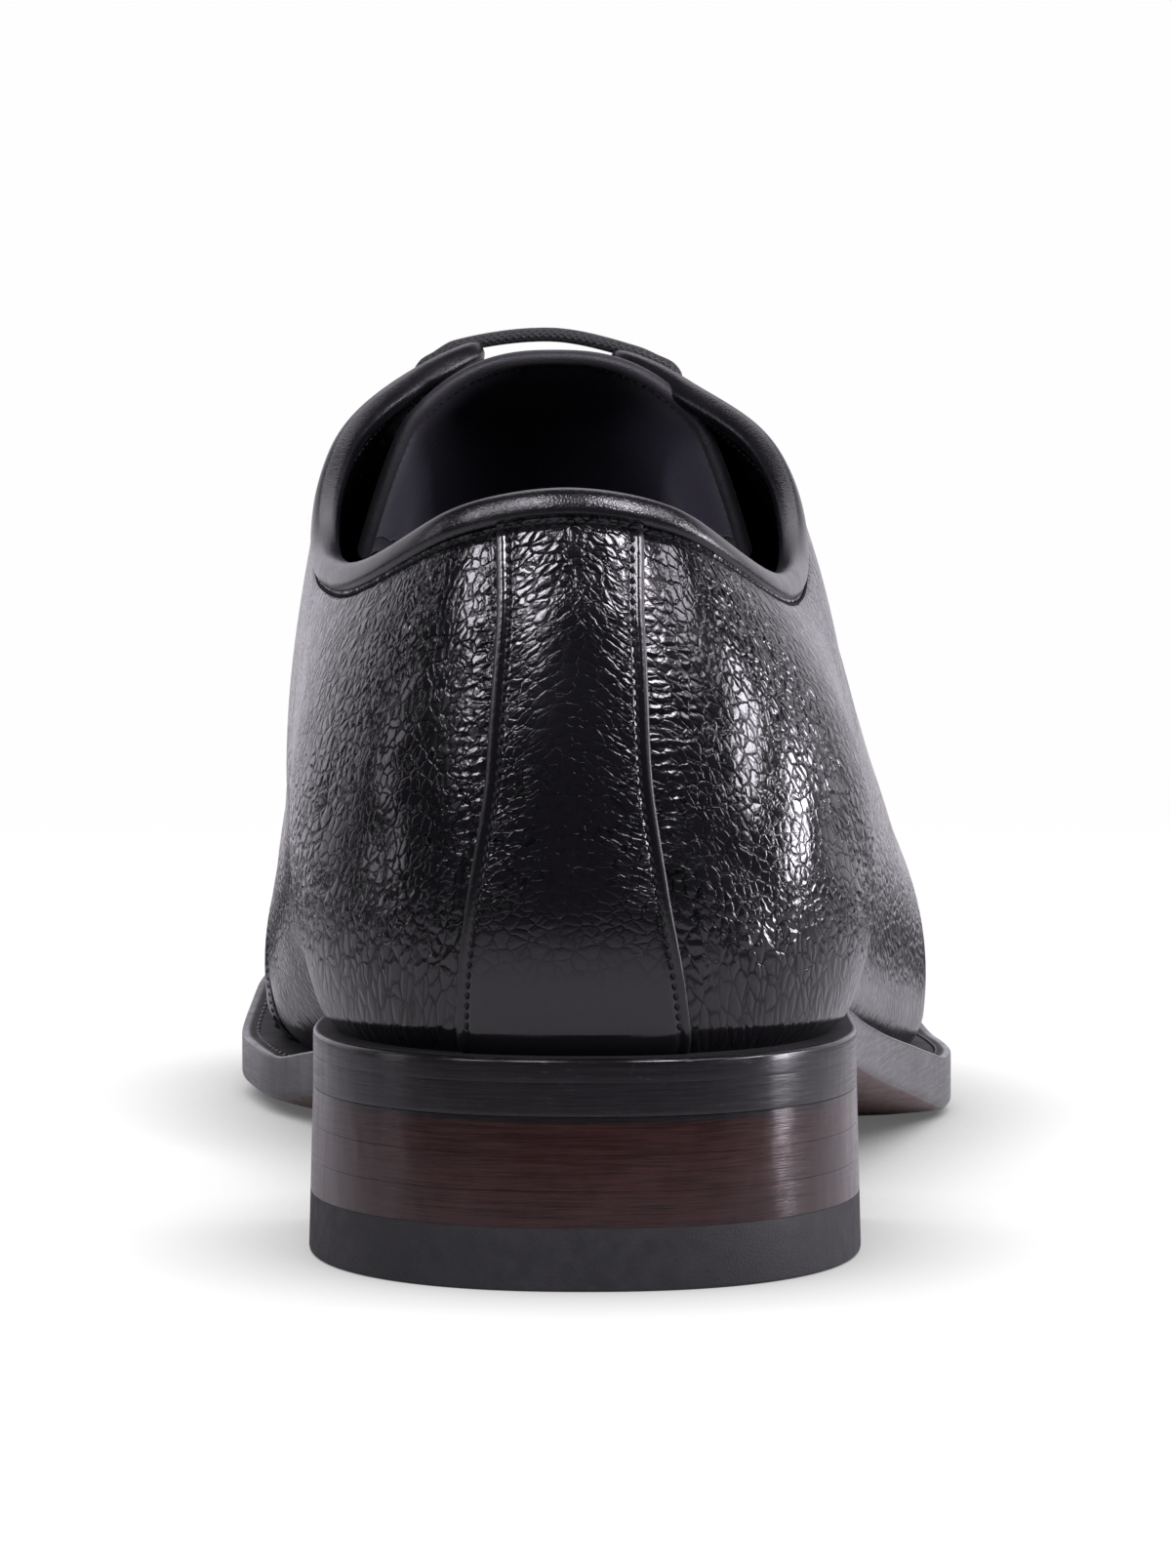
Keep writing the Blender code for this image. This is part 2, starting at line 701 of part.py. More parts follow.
def cut_eyelets(upper):
    for i, r in enumerate(eyelet_ribs()):
        for side, word in ((-1, "medial"), (1, "lateral")):
            middle, outward = eyelet(r, side)
            bm = bmesh.new()
            radius = EYELET_RADIUS * MM
            depth = UPPER_WALL * 4 * MM
            bmesh.ops.create_cone(
                bm, cap_ends=True, segments=10, radius1=radius, radius2=radius, depth=depth
            )
            mesh = bpy.data.meshes.new(f"eyelet_cutter_{word}_{i + 1}")
            bm.to_mesh(mesh)
            bm.free()
            cutter = bpy.data.objects.new(mesh.name, mesh)
            cutter.location = in_place(middle)
            cutter.rotation_mode = "QUATERNION"
            cutter.rotation_quaternion = Vector(outward).to_track_quat("Z", "Y")
            cutter.hide_render = True
            cutter.display_type = "WIRE"
            cutter.parent = shoe_root
            cutters.objects.link(cutter)
            cut = upper.modifiers.new(cutter.name, "BOOLEAN")
            cut.operation = "DIFFERENCE"
            cut.object = cutter


def lace_bar(number, r):
    """A lace that comes up through one eyelet, crosses the throat and goes down the other."""
    ends = []
    for side in (-1, 1):
        middle, outward = eyelet(r, side)
        edge = rib_point(r, side, 1)
        inward = edge - middle
        inward /= np.linalg.norm(inward)
        over = LACE_RADIUS + GAP
        ends.append(
            [
                middle - outward * 0.6,
                middle + outward * 0.5 + inward * 0.15,
                middle + outward * (over + 0.25) + inward * 1.5,
                middle + outward * (over + 0.45) + inward * (EYELET_SETBACK * 0.55),
                edge + outward * (over + 0.55),
            ]
        )
    crest = (ends[0][-1] + ends[1][-1]) / 2
    crest[2] += LACE_ARCH * np.linalg.norm(ends[0][-1] - ends[1][-1])
    route = ends[0] + [crest] + ends[1][::-1]
    stops = np.cumsum([0] + [np.linalg.norm(b - a) for a, b in zip(route, route[1:])])
    curves = [through(stops, [point[k] for point in route]) for k in range(3)]
    length = stops[-1]
    points = [[curve(length * i / LACE_STEPS) for curve in curves] for i in range(LACE_STEPS + 1)]
    cord(f"lace_bar_{number}", points, LACE_RADIUS, "lace_cord")


def make_laces():
    for i, r in enumerate(eyelet_ribs()):
        lace_bar(i + 1, r)


for old in list(bpy.data.objects):
    bpy.data.objects.remove(old)
materials = {name: new_material(name) for name in FINISHES}
shoe = new_collection("plain_toe_oxford")
cutters = new_collection("cutters")
shoe_root = bpy.data.objects.new("shoe_root", None)
shoe.objects.link(shoe_root)

make_outsole()
make_welt()
make_insole()
make_heel()
cut_eyelets(make_upper())
make_back_strip()
make_vamp()
make_binding()
make_tongue()
make_laces()
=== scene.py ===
import math

import bpy
import numpy as np
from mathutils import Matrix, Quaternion, Vector


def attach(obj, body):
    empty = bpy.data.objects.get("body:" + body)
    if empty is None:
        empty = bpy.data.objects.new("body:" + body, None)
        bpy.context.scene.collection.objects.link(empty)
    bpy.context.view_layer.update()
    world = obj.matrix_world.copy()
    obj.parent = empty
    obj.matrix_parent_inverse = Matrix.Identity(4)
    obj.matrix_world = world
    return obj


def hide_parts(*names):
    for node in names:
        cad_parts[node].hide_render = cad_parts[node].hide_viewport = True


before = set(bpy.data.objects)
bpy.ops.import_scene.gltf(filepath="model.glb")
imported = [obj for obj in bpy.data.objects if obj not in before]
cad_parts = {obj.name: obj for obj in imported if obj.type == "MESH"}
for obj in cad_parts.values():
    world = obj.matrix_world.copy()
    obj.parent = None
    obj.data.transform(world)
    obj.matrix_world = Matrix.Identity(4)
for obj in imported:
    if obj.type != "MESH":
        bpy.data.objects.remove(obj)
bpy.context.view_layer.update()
print("frame loaded:", len(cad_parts), "nodes")

# Shoe sizes in millimetres: across (minus is the inner side), along from the heel, up from the floor
mm = 0.001
shoe = {
    "length": 304.0,
    "heelAxis": -0.8,
    "breast": 66.0,  # where the heel ends
    "breastHollow": 2.5,
    "heelFlare": 0.5,
    "seat": 19.6,  # underside of the outsole over the heel
    "topPiece": 7.0,
    "lifts": 3,
    "gap": 0.3,
    "welt": 2.5,
    "wall": 2.0,
    "clear": 0.5,  # welt to the upper's lower edge
    "treadEdge": 13.0,
    "insoleIn": 2.9,
    "insoleRise": 1.4,
    "bindRadius": 1.75,
    "bindClear": 0.65,
    "wallShare": 0.3,
    "fairEnd": (5.5, 7.0),  # ribs over which the even collar curve gives way
    "heelRound": (44.0, 2.25),
    "toeRound": (52.0, 2.3),
}

planTable = np.array([  # along, medial, lateral, ledge
    (0, 32.5, 32.5, 1.3), (45, 32.5, 32.5, 1.3), (70, 31.2, 32.8, 1.6), (95, 28.8, 35.4, 2.2),
    (120, 28.6, 39.4, 2.8), (145, 32.6, 44.2, 3.5), (170, 40.2, 49.6, 4.2), (197, 48.6, 54.2, 5.0),
    (226, 52.6, 52.2, 5.4), (252, 52.0, 46.0, 5.5), (280, 48.6, 37.4, 5.5), (304, 43.0, 29.0, 5.5),
])
profileTable = np.array([  # along, tread, thickness, curl medial, curl lateral
    (0, 19.6, 3.7, 0, 0), (66, 19.6, 3.7, 0, 0), (82, 18.0, 3.8, 0, 0), (105, 14.2, 4.0, 0.3, 0.2),
    (130, 9.8, 4.4, 0.8, 0.4), (152, 5.9, 5.0, 1.3, 0.6), (172, 2.2, 5.6, 1.8, 0.8),
    (187, 0.0, 6.0, 2.2, 0.9), (215, 0.0, 6.2, 2.2, 1.0), (235, 2.0, 6.2, 1.9, 1.2),
    (262, 6.5, 6.0, 1.4, 1.3), (286, 11.0, 5.6, 1.2, 1.2), (304, 14.6, 5.4, 1.2, 1.2),
])
ribTable = np.array([  # foot, bulge and rise medial, the same lateral, top, high, drop, middle, half, crown
    (4.5, 3.0, 19, 3.0, 19, 7.8, 86.5, 0.0, -1.7, 0.0, 1.0),  # heel back
    (7.2, 3.2, 19, 3.2, 19, 10.0, 84.9, 0.0, -1.8, 11.2, 1.0),
    (17, 3.6, 19, 3.6, 19, 17.0, 81.9, 0.0, -2.1, 18.2, 1.0),
    (36, 3.8, 20, 3.8, 18, 32.5, 78.1, 0.6, -2.4, 25.0, 1.0),
    (60, 5.6, 25, 3.8, 17, 56.0, 78.0, 1.2, -2.8, 29.0, 1.0),  # ankle dip
    (82, 9.0, 30, 3.0, 17, 79.0, 81.8, 0.2, -3.1, 31.0, 1.05),
    (100, 11.8, 33, 2.2, 17, 96.0, 93.2, -0.4, -3.9, 29.2, 1.15),  # collar front
    (113, 13.6, 33, 1.7, 17, 109.0, 102.6, 0.0, -5.4, 20.8, 1.35),  # corner
    (125, 14.2, 31, 1.5, 16, 120.0, 108.7, 1.0, -5.1, 11.4, 1.6),  # top of the facing
    (140, 13.2, 27, 1.5, 15, 132.0, 100.2, 0.4, -5.4, 10.2, 1.7),
    (158, 10.8, 22, 1.4, 14, 147.0, 88.0, 0.2, -5.5, 8.2, 1.8),
    (178, 7.0, 17, 1.3, 12, 162.0, 75.6, 0.0, -5.6, 6.2, 1.9),
    (192, 4.2, 14, 1.2, 11, 171.5, 68.4, 0.0, -5.7, 4.4, 1.95),  # throat
    (204, 2.2, 12, 1.1, 10, 178.0, 64.2, 0.0, -5.8, 0.0, 2.0),  # edge of the vamp
    (222, 0.8, 10, 1.1, 10, 200.0, 55.8, 0.0, -6.0, 0.0, 2.1),
    (246, 1.0, 9, 1.0, 9, 227.0, 48.8, 0.0, -6.3, 0.0, 2.2),
    (270, 1.2, 8, 1.2, 8, 250.0, 44.6, 0.0, -6.7, 0.0, 2.25),
    (289, 1.2, 8, 1.2, 8, 268.0, 41.6, 0.0, -7.0, 0.0, 2.25),
    (298.4, 1.2, 8, 1.2, 8, 276.0, 40.2, 0.0, -7.0, 0.0, 2.2),  # toe
])
cornerRib, facingRib, throatRib, vampRib, toeRib = 7, 8, 12, 13, len(ribTable) - 1
nearRib = 0.01  # part of a rib, for slopes and for the two end ribs


def through(xs, ys):  # a smooth curve that never overshoots its points
    xs, ys = np.asarray(xs, float), np.asarray(ys, float)
    steps = np.diff(xs)
    slopes = np.diff(ys) / steps
    tangents = np.concatenate(([slopes[0]], np.zeros(len(xs) - 2), [slopes[-1]]))
    for i in range(1, len(xs) - 1):
        if slopes[i - 1] * slopes[i] > 0:
            before = 2 * steps[i] + steps[i - 1]
            after = steps[i] + 2 * steps[i - 1]
            tangents[i] = (before + after) / (before / slopes[i - 1] + after / slopes[i])

    def at(x):
        x = np.asarray(x, float)
        i = np.clip(np.searchsorted(xs, x) - 1, 0, len(steps) - 1)
        t = (x - xs[i]) / steps[i]
        bend = steps[i] * t * (1 - t) * (tangents[i] * (1 - t) - tangents[i + 1] * t)
        return ys[i] * (1 + 2 * t) * (1 - t) ** 2 + ys[i + 1] * t * t * (3 - 2 * t) + bend

    return at


def smoothStep(low, high, x):
    t = np.clip((np.asarray(x, float) - low) / (high - low), 0, 1)
    return t * t * (3 - 2 * t)


edgeMedial, edgeLateral, weltLedge = (through(planTable[:, 0], planTable[:, k]) for k in (1, 2, 3))
treadHeight, soleThick, curlMedial, curlLateral = (
    through(profileTable[:, 0], profileTable[:, k]) for k in (1, 2, 3, 4)
)


def outsoleTop(along):
    return treadHeight(along) + soleThick(along)


def weltTop(along):
    return outsoleTop(along) + shoe["gap"] + shoe["welt"]


def soleMiddle(along):
    return (edgeLateral(along) - edgeMedial(along)) / 2


def planAcross(along, side, start, end, inset):  # the edge of a plan, side 1 is lateral
    half = (edgeLateral(along) + edgeMedial(along)) / 2 - inset
    heel = np.clip(1 - (along - start) / shoe["heelRound"][0], 0, 1)
    toe = np.clip(1 - (end - along) / shoe["toeRound"][0], 0, 1)
    for reach, full in ((heel, shoe["heelRound"][1]), (toe, shoe["toeRound"][1])):
        half = half * np.maximum(0, 1 - reach**full) ** (1 / full)
    return soleMiddle(along) + side * half


def ribColumn(column, parity=1):  # a column over the rib number, mirrored past heel and toe
    values = ribTable[:, column]
    run = np.concatenate((parity * values[2:0:-1], values, parity * values[-2:-4:-1]))
    return through(np.arange(-2, len(values) + 2), run)


def fairColumn(column, parity=1):  # the same with an even bend, for the collar's run round the heel
    plain = ribColumn(column, parity)
    values = ribTable[:facingRib + 1, column]
    run = np.concatenate((parity * values[:0:-1], values))
    n = len(run)
    sums = np.eye(n) * 4 + np.eye(n, k=1) + np.eye(n, k=-1)
    bends = np.zeros(n)
    bends[1:-1] = np.linalg.solve(sums[1:-1, 1:-1], 6 * np.diff(run, 2))

    def at(r):
        r = np.asarray(r, float)
        x = np.clip(r, -facingRib, facingRib) + facingRib
        i = np.clip(np.floor(x).astype(int), 0, n - 2)
        t = x - i
        fair = run[i] * (1 - t) + run[i + 1] * t
        fair = fair - t * (1 - t) * (bends[i] * (2 - t) + bends[i + 1] * (1 + t)) / 6
        near = 1 - smoothStep(*shoe["fairEnd"], r)
        return plain(r) * (1 - near) + fair * near

    return at


def footCurve():  # the ribs' feet, evenly spread round both ends
    first, last = ribTable[0, 0], ribTable[-1, 0]
    turn = np.arccos(1 - 2 * (ribTable[:, 0] - first) / (last - first))
    run = np.concatenate((-turn[2:0:-1], turn, 2 * math.pi - turn[-2:-4:-1]))
    angle = through(np.arange(-2, len(turn) + 2), run)
    return lambda r: first + (last - first) * (1 - np.cos(angle(r))) / 2


ribFoot = footCurve()
bulgeMedial, riseMedial, bulgeLateral, riseLateral = (ribColumn(k) for k in range(1, 5))
ribTop, ribHigh, ribDrop, ribMiddle = (fairColumn(k) for k in range(5, 9))
ribHalf, ribCrown = fairColumn(9, -1), ribColumn(10)


def footPoint(r, side):
    along = ribFoot(r)
    across = planAcross(along, side, ribTable[0, 0], ribTable[-1, 0], weltLedge(along))
    return np.stack((across, along), -1)


def footOutward(r, side):
    inside = np.clip(r, 2 * nearRib, toeRib - 2 * nearRib)
    run = footPoint(inside + nearRib, side) - footPoint(inside - nearRib, side)
    out = np.stack((run[..., 1] * side, -run[..., 0] * side), -1)
    out /= np.linalg.norm(out, axis=-1, keepdims=True)
    out = np.where((r < nearRib)[..., None], np.array([0.0, -1.0]), out)
    return np.where((r > toeRib - nearRib)[..., None], np.array([0.0, 1.0]), out)


def ribPoint(r, side, t):  # a point of the upper's outer face, t is 0 at the welt and 1 at the top edge
    r, side, t = np.broadcast_arrays(np.asarray(r, float), np.asarray(side, float), np.asarray(t, float))
    foot = footPoint(r, side)
    footZ = weltTop(foot[..., 1]) + shoe["clear"]
    bulge = np.where(side > 0, bulgeLateral(r), bulgeMedial(r))
    wide = foot + footOutward(r, side) * bulge[..., None]
    wideZ = footZ + np.where(side > 0, riseLateral(r), riseMedial(r))
    low = np.clip(t / shoe["wallShare"], 0, 1)
    plan = foot + (wide - foot) * (1 - (1 - low) ** 2)[..., None]
    height = footZ + (wideZ - footZ) * low
    turn = np.clip((t - shoe["wallShare"]) / (1 - shoe["wallShare"]), 0, 1)
    roll = np.minimum(1, ribCrown(r) - 1)
    up = (1 - roll) * turn + roll * np.sin(turn * math.pi / 2)
    share = np.maximum(0, 1 - up * up) ** (1 / ribCrown(r))
    top = np.stack((ribMiddle(r) + side * ribHalf(r), ribTop(r)), -1)
    crown = top + (wide - top) * np.stack((share, share ** (1 + roll)), -1)
    topZ = ribHigh(r) - side * ribDrop(r) / 2
    above = t > shoe["wallShare"]
    plan = np.where(above[..., None], crown, plan)
    height = np.where(above, wideZ + (topZ - wideZ) * up, height)
    return np.concatenate((plan, height[..., None]), -1)


def unit(vectors):
    return vectors / np.maximum(np.linalg.norm(vectors, axis=-1, keepdims=True), 1e-12)


def fieldNormals(field, ring=False):  # outward where columns run heel to toe on the lateral side
    if ring:
        wide = np.concatenate((field[:, -3:-1], field, field[:, 1:3]), 1)
        across = np.gradient(wide, axis=1)[:, 2:-2]
    else:
        across = np.gradient(field, axis=1)
    return unit(np.cross(across, np.gradient(field, axis=0)))


def runOf(points, axis):  # distance travelled along an axis of a field
    steps = np.linalg.norm(np.diff(points, axis=axis), axis=-1)
    zero = np.zeros_like(np.take(steps, [0], axis=axis))
    return np.concatenate((zero, np.cumsum(steps, axis=axis)), axis=axis)


def toWorld(points):
    return (np.asarray(points, float) + (shoe["heelAxis"], -shoe["length"] / 2, 0)) * mm


# Mesh helpers


def deselect():
    bpy.ops.object.select_all(action="DESELECT")


def weld(piece, recalculate=False):
    deselect()
    piece.select_set(True)
    bpy.context.view_layer.objects.active = piece
    bpy.ops.object.mode_set(mode="EDIT")
    bpy.ops.mesh.select_all(action="SELECT")
    bpy.ops.mesh.remove_doubles(threshold=0.002 * mm)
    if recalculate:
        bpy.ops.mesh.normals_make_consistent(inside=False)
    bpy.ops.object.mode_set(mode="OBJECT")


def addSheet(name, field, marks=None, closed=False):  # a grid laid over a field of points
    rows, columns = field.shape[:2]
    deselect()
    bpy.ops.mesh.primitive_grid_add(x_subdivisions=columns - 1, y_subdivisions=rows - 1, size=1)
    piece = bpy.context.active_object
    piece.name = piece.data.name = name
    piece.data.vertices.foreach_set("co", toWorld(field).astype(np.float32).ravel())
    for mark, values in (marks or {}).items():
        values = np.broadcast_to(values, (rows, columns) + np.shape(values)[2:])
        vector = values.ndim == 3
        layer = piece.data.attributes.new(mark, "FLOAT_VECTOR" if vector else "FLOAT", "POINT")
        layer.data.foreach_set("vector" if vector else "value", values.astype(np.float32).ravel())
    weld(piece, closed)
    return piece


def applyModifier(piece, kind, **settings):
    modifier = piece.modifiers.new(kind.lower(), kind)
    for key, value in settings.items():
        setattr(modifier, key, value)
    bpy.context.view_layer.objects.active = piece
    bpy.ops.object.modifier_apply(modifier=modifier.name)


def finishPiece(piece, materials, nodes=(), angle=40):
    for material in materials:
        piece.data.materials.append(material)
    deselect()
    piece.select_set(True)
    bpy.context.view_layer.objects.active = piece
    bpy.ops.object.shade_smooth_by_angle(angle=math.radians(angle))
    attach(piece, "root")
    if nodes:
        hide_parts(*nodes)


# Shader helpers


def put(tree, kind, **settings):
    made = tree.nodes.new(kind)
    for key, value in settings.items():
        setattr(made, key, value)
    return made


def feed(tree, value, socket):
    if hasattr(value, "is_output"):
        tree.links.new(value, socket)
    else:
        socket.default_value = value


def calc(tree, operation, a, b=0.0):
    made = put(tree, "ShaderNodeMath", operation=operation)
    feed(tree, a, made.inputs[0])
    feed(tree, b, made.inputs[1])
    return made.outputs[0]


def times(tree, a, b):
    return calc(tree, "MULTIPLY", a, b)


def plus(tree, a, b):
    return calc(tree, "ADD", a, b)


def vectorCalc(tree, operation, a, b):
    made = put(tree, "ShaderNodeVectorMath", operation=operation)
    feed(tree, a, made.inputs[0])
    feed(tree, b, made.inputs[3 if operation == "SCALE" else 1])
    return made.outputs[0]


def ramp(tree, value, low, high, toLow=0.0, toHigh=1.0, soft=True):
    made = put(tree, "ShaderNodeMapRange", interpolation_type="SMOOTHSTEP" if soft else "LINEAR")
    for socket, number in zip(made.inputs[:5], (value, low, high, toLow, toHigh)):
        feed(tree, number, socket)
    return made.outputs[0]


def noise(tree, vector, scale, detail=2.0, rough=0.5, colour=False):
    made = put(tree, "ShaderNodeTexNoise")
    feed(tree, vector, made.inputs["Vector"])
    made.inputs["Scale"].default_value = scale
    made.inputs["Detail"].default_value = detail
    made.inputs["Roughness"].default_value = rough
    return made.outputs["Color" if colour else "Fac"]


def drawnNoise(tree, vector, stretch, detail, rough):
    return noise(tree, vectorCalc(tree, "MULTIPLY", vector, stretch), 1.0, detail, rough)


def cells(tree, vector, scale, feature, output="Distance"):
    made = put(tree, "ShaderNodeTexVoronoi", feature=feature)
    feed(tree, vector, made.inputs["Vector"])
    made.inputs["Scale"].default_value = scale
    return made.outputs[output]


def blendColour(tree, share, first, second):
    made = put(tree, "ShaderNodeMix", data_type="RGBA")
    feed(tree, share, made.inputs[0])
    for value, socket in ((first, made.inputs[6]), (second, made.inputs[7])):
        feed(tree, value if hasattr(value, "is_output") else (*value, 1), socket)
    return made.outputs[2]


def newGroup(name, inputs, outputs):
    group = bpy.data.node_groups.new(name, "ShaderNodeTree")
    for label, kind, value in inputs:
        made = group.interface.new_socket(name=label, in_out="INPUT", socket_type="NodeSocket" + kind)
        if value is not None:
            made.default_value = value
    for label, kind in outputs:
        group.interface.new_socket(name=label, in_out="OUTPUT", socket_type="NodeSocket" + kind)
    return group, put(group, "NodeGroupInput").outputs, put(group, "NodeGroupOutput").inputs


def useGroup(tree, group, **inputs):
    made = put(tree, "ShaderNodeGroup")
    made.node_tree = group
    for label, value in inputs.items():
        feed(tree, value, made.inputs[label])
    return made.outputs


def newMaterial(name, **fixed):
    material = bpy.data.materials.new(name)
    material.use_nodes = True
    shader = material.node_tree.nodes["Principled BSDF"]
    for label, value in fixed.items():
        shader.inputs[label.replace("_", " ")].default_value = value
    return material, material.node_tree, shader.inputs


def objectSpace(tree):  # the piece's place in millimetres
    return vectorCalc(tree, "SCALE", put(tree, "ShaderNodeTexCoord").outputs["Object"], 1 / mm)


def markValue(tree, mark, output="Fac"):
    return put(tree, "ShaderNodeAttribute", attribute_name=mark).outputs[output]


def addBump(tree, height, normal, depth, under=None):
    bump = put(tree, "ShaderNodeBump")
    bump.inputs["Strength"].default_value = 1.0
    bump.inputs["Distance"].default_value = depth * mm
    feed(tree, height, bump.inputs["Height"])
    if under is not None:
        feed(tree, under, bump.inputs["Normal"])
    if normal is not None:
        feed(tree, bump.outputs[0], normal)
    return bump.outputs[0]


# Pebbled grain: flat plates split by thin creases that open and close
grainShape = {
    "sway": (0.45, 0.8, 2), "ripple": (1.7, 0.35, 1),  # noise scale, shift, detail
    "wide": 1.0, "fine": 2.1, "wideCrease": 0.11, "fineCrease": 0.08, "cut": 0.55,
    "opening": (0.3, (0.36, 0.6), (0.55, 1.0)), "parting": (0.55, (0.45, 0.62), (0.0, 0.35)),
    "dome": 0.36, "domeLoss": 0.6, "tilt": (1.1, 0.4), "tone": (0.06, 3),  # tone: noise scale, detail
    "pull": (0.28, 1.4), "pores": (3.4, 0.03), "foldSway": (0.5, 1.5),  # noise scale, height
    "fold": (1.3, 0.45), "foldBreak": (0.9, (0.4, 0.6)),
}
middleGrey = (0.5, 0.5, 0.5)


def drift(tree, vector, scale, shift, detail):  # how far a point of the grain wanders
    wander = vectorCalc(tree, "SUBTRACT", noise(tree, vector, scale, detail, 0.5, True), middleGrey)
    return vectorCalc(tree, "SCALE", wander, shift)


def swell(tree, vector, scale, height):
    return times(tree, noise(tree, vector, scale), height)


group, given, out = newGroup(
    "pebbleGrain",
    [("Vector", "Vector", None), ("Fade", "Float", 0.0), ("Gather", "Float", 0.0), ("Relief", "Float", 0.5)],
    [("Height", "Float"), ("Crease", "Float"), ("Tone", "Float")],
)
place = given["Vector"]
warped = vectorCalc(group, "ADD", place, drift(group, place, *grainShape["sway"]))
warped = vectorCalc(group, "ADD", warped, drift(group, place, *grainShape["ripple"]))
wide = cells(group, warped, grainShape["wide"], "DISTANCE_TO_EDGE")
fine = cells(group, warped, grainShape["fine"], "DISTANCE_TO_EDGE")
facet = cells(group, warped, grainShape["wide"], "F1", "Color")
scale, span, result = grainShape["opening"]
opening = ramp(group, noise(group, place, scale), *span, *result)
scale, span, result = grainShape["parting"]
parting = ramp(group, noise(group, warped, scale), *span, *result)
major = times(group, ramp(group, wide, 0.0, grainShape["wideCrease"], 1.0, 0.0), opening)
minor = times(group, ramp(group, fine, 0.0, grainShape["fineCrease"], 1.0, 0.0), parting)
kept = calc(group, "SUBTRACT", 1.0, given["Fade"])
crease = times(group, calc(group, "MAXIMUM", major, minor), kept)
held = calc(group, "SUBTRACT", 1.0, times(group, given["Fade"], grainShape["domeLoss"]))
dome = times(group, ramp(group, wide, 0.0, grainShape["dome"]), times(group, given["Relief"], held))
offset = vectorCalc(group, "SUBTRACT", warped, facet.node.outputs["Position"])
leaning = vectorCalc(group, "DOT_PRODUCT", offset, vectorCalc(group, "SUBTRACT", facet, middleGrey))
steeper, least = grainShape["tilt"]
steep = plus(group, times(group, given["Relief"], steeper), least)
tilt = times(group, leaning.node.outputs["Value"], steep)
turned = put(group, "ShaderNodeSeparateXYZ")
feed(group, place, turned.inputs[0])
folds, deep = grainShape["fold"]
bent = plus(group, turned.outputs["Y"], swell(group, place, *grainShape["foldSway"]))
fold = calc(group, "SINE", times(group, bent, 2 * math.pi * folds))
scale, span = grainShape["foldBreak"]
broken = ramp(group, noise(group, place, scale), *span)
fold = times(group, times(group, fold, broken), times(group, given["Gather"], deep))
plate = calc(group, "SUBTRACT", tilt, times(group, crease, grainShape["cut"]))
plate = plus(group, plate, plus(group, swell(group, place, *grainShape["pull"]), fold))
skin = plus(group, dome, swell(group, place, *grainShape["pores"]))
feed(group, plus(group, times(group, plate, kept), skin), out["Height"])
feed(group, crease, out["Crease"])
feed(group, noise(group, place, *grainShape["tone"]), out["Tone"])
pebbleGrain = group

# Fine skin for smooth leather: pores, short wrinkles
skinShape = {"pores": 2.6, "poreWidth": 0.3, "poreShare": 0.4, "wrinkle": (1.1, 4, 0.6), "tone": (0.12, 3)}
group, given, out = newGroup(
    "fineSkin", [("Vector", "Vector", None)], [("Height", "Float"), ("Tone", "Float")]
)
place = given["Vector"]
pores = ramp(group, cells(group, place, skinShape["pores"], "DISTANCE_TO_EDGE"), 0.0, skinShape["poreWidth"])
wrinkle = noise(group, place, *skinShape["wrinkle"])
feed(group, plus(group, times(group, pores, skinShape["poreShare"]), wrinkle), out["Height"])
feed(group, noise(group, place, *skinShape["tone"]), out["Tone"])
fineSkin = group

# Streaks round a cut leather edge: fine level lines, scuffs and long shallow waves
streakShape = {
    "streak": ((0.11, 0.11, 2.6), 4, 0.6), "hair": ((0.22, 0.22, 9.0), 3, 0.6),  # stretch, detail, roughness
    "scuff": ((0.5, 0.5, 3.2), 5, 0.7), "wave": ((0.16, 0.16, 0.07), 2, 0.5),
    "scuffSpan": (0.58, 0.72), "hairShare": 0.6,
}
group, given, out = newGroup(
    "edgeStreaks", [("Vector", "Vector", None)],
    [("Height", "Float"), ("Streak", "Float"), ("Hair", "Float"), ("Scuff", "Float"), ("Wave", "Float")],
)
place = given["Vector"]
streak = drawnNoise(group, place, *streakShape["streak"])
hair = drawnNoise(group, place, *streakShape["hair"])
scuff = ramp(group, drawnNoise(group, place, *streakShape["scuff"]), *streakShape["scuffSpan"])
feed(group, plus(group, times(group, hair, streakShape["hairShare"]), streak), out["Height"])
feed(group, streak, out["Streak"])
feed(group, hair, out["Hair"])
feed(group, scuff, out["Scuff"])
feed(group, drawnNoise(group, place, *streakShape["wave"]), out["Wave"])
edgeStreaks = group

# Grained leather of quarters, vamp and back strip
toneSpan = (0.3, 0.7)  # where a noise does most of its changing
# the crease colour and the metallic share in the creases are painted shade
grainLook = {"top": (0.0030, 0.0027, 0.0036), "crease": (0.0012, 0.0011, 0.0014), "depth": 0.055,
             "gloss": (0.11, 0.17), "dull": 0.15, "creaseShade": 0.92, "rolled": 0.24}
grainLeather, tree, skinIn = newMaterial("grainLeather", IOR=1.5)
made = useGroup(
    tree, pebbleGrain, Vector=markValue(tree, "grainSpace", "Vector"), Fade=markValue(tree, "smooth"),
    Gather=markValue(tree, "gather"), Relief=markValue(tree, "relief"),
)
# the base colour darkens in the creases: painted shade
feed(tree, blendColour(tree, made["Crease"], grainLook["top"], grainLook["crease"]), skinIn["Base Color"])
worn = plus(tree, times(tree, made["Crease"], grainLook["dull"]),
            ramp(tree, made["Tone"], *toneSpan, *grainLook["gloss"]))
rolled = times(tree, markValue(tree, "rolled"), grainLook["rolled"])  # duller along a rolled edge
feed(tree, plus(tree, worn, rolled), skinIn["Roughness"])
feed(tree, times(tree, made["Crease"], grainLook["creaseShade"]), skinIn["Metallic"])  # painted shade: metallic in the creases takes away their reflection, so they stay black
addBump(tree, made["Height"], skinIn["Normal"], grainLook["depth"])


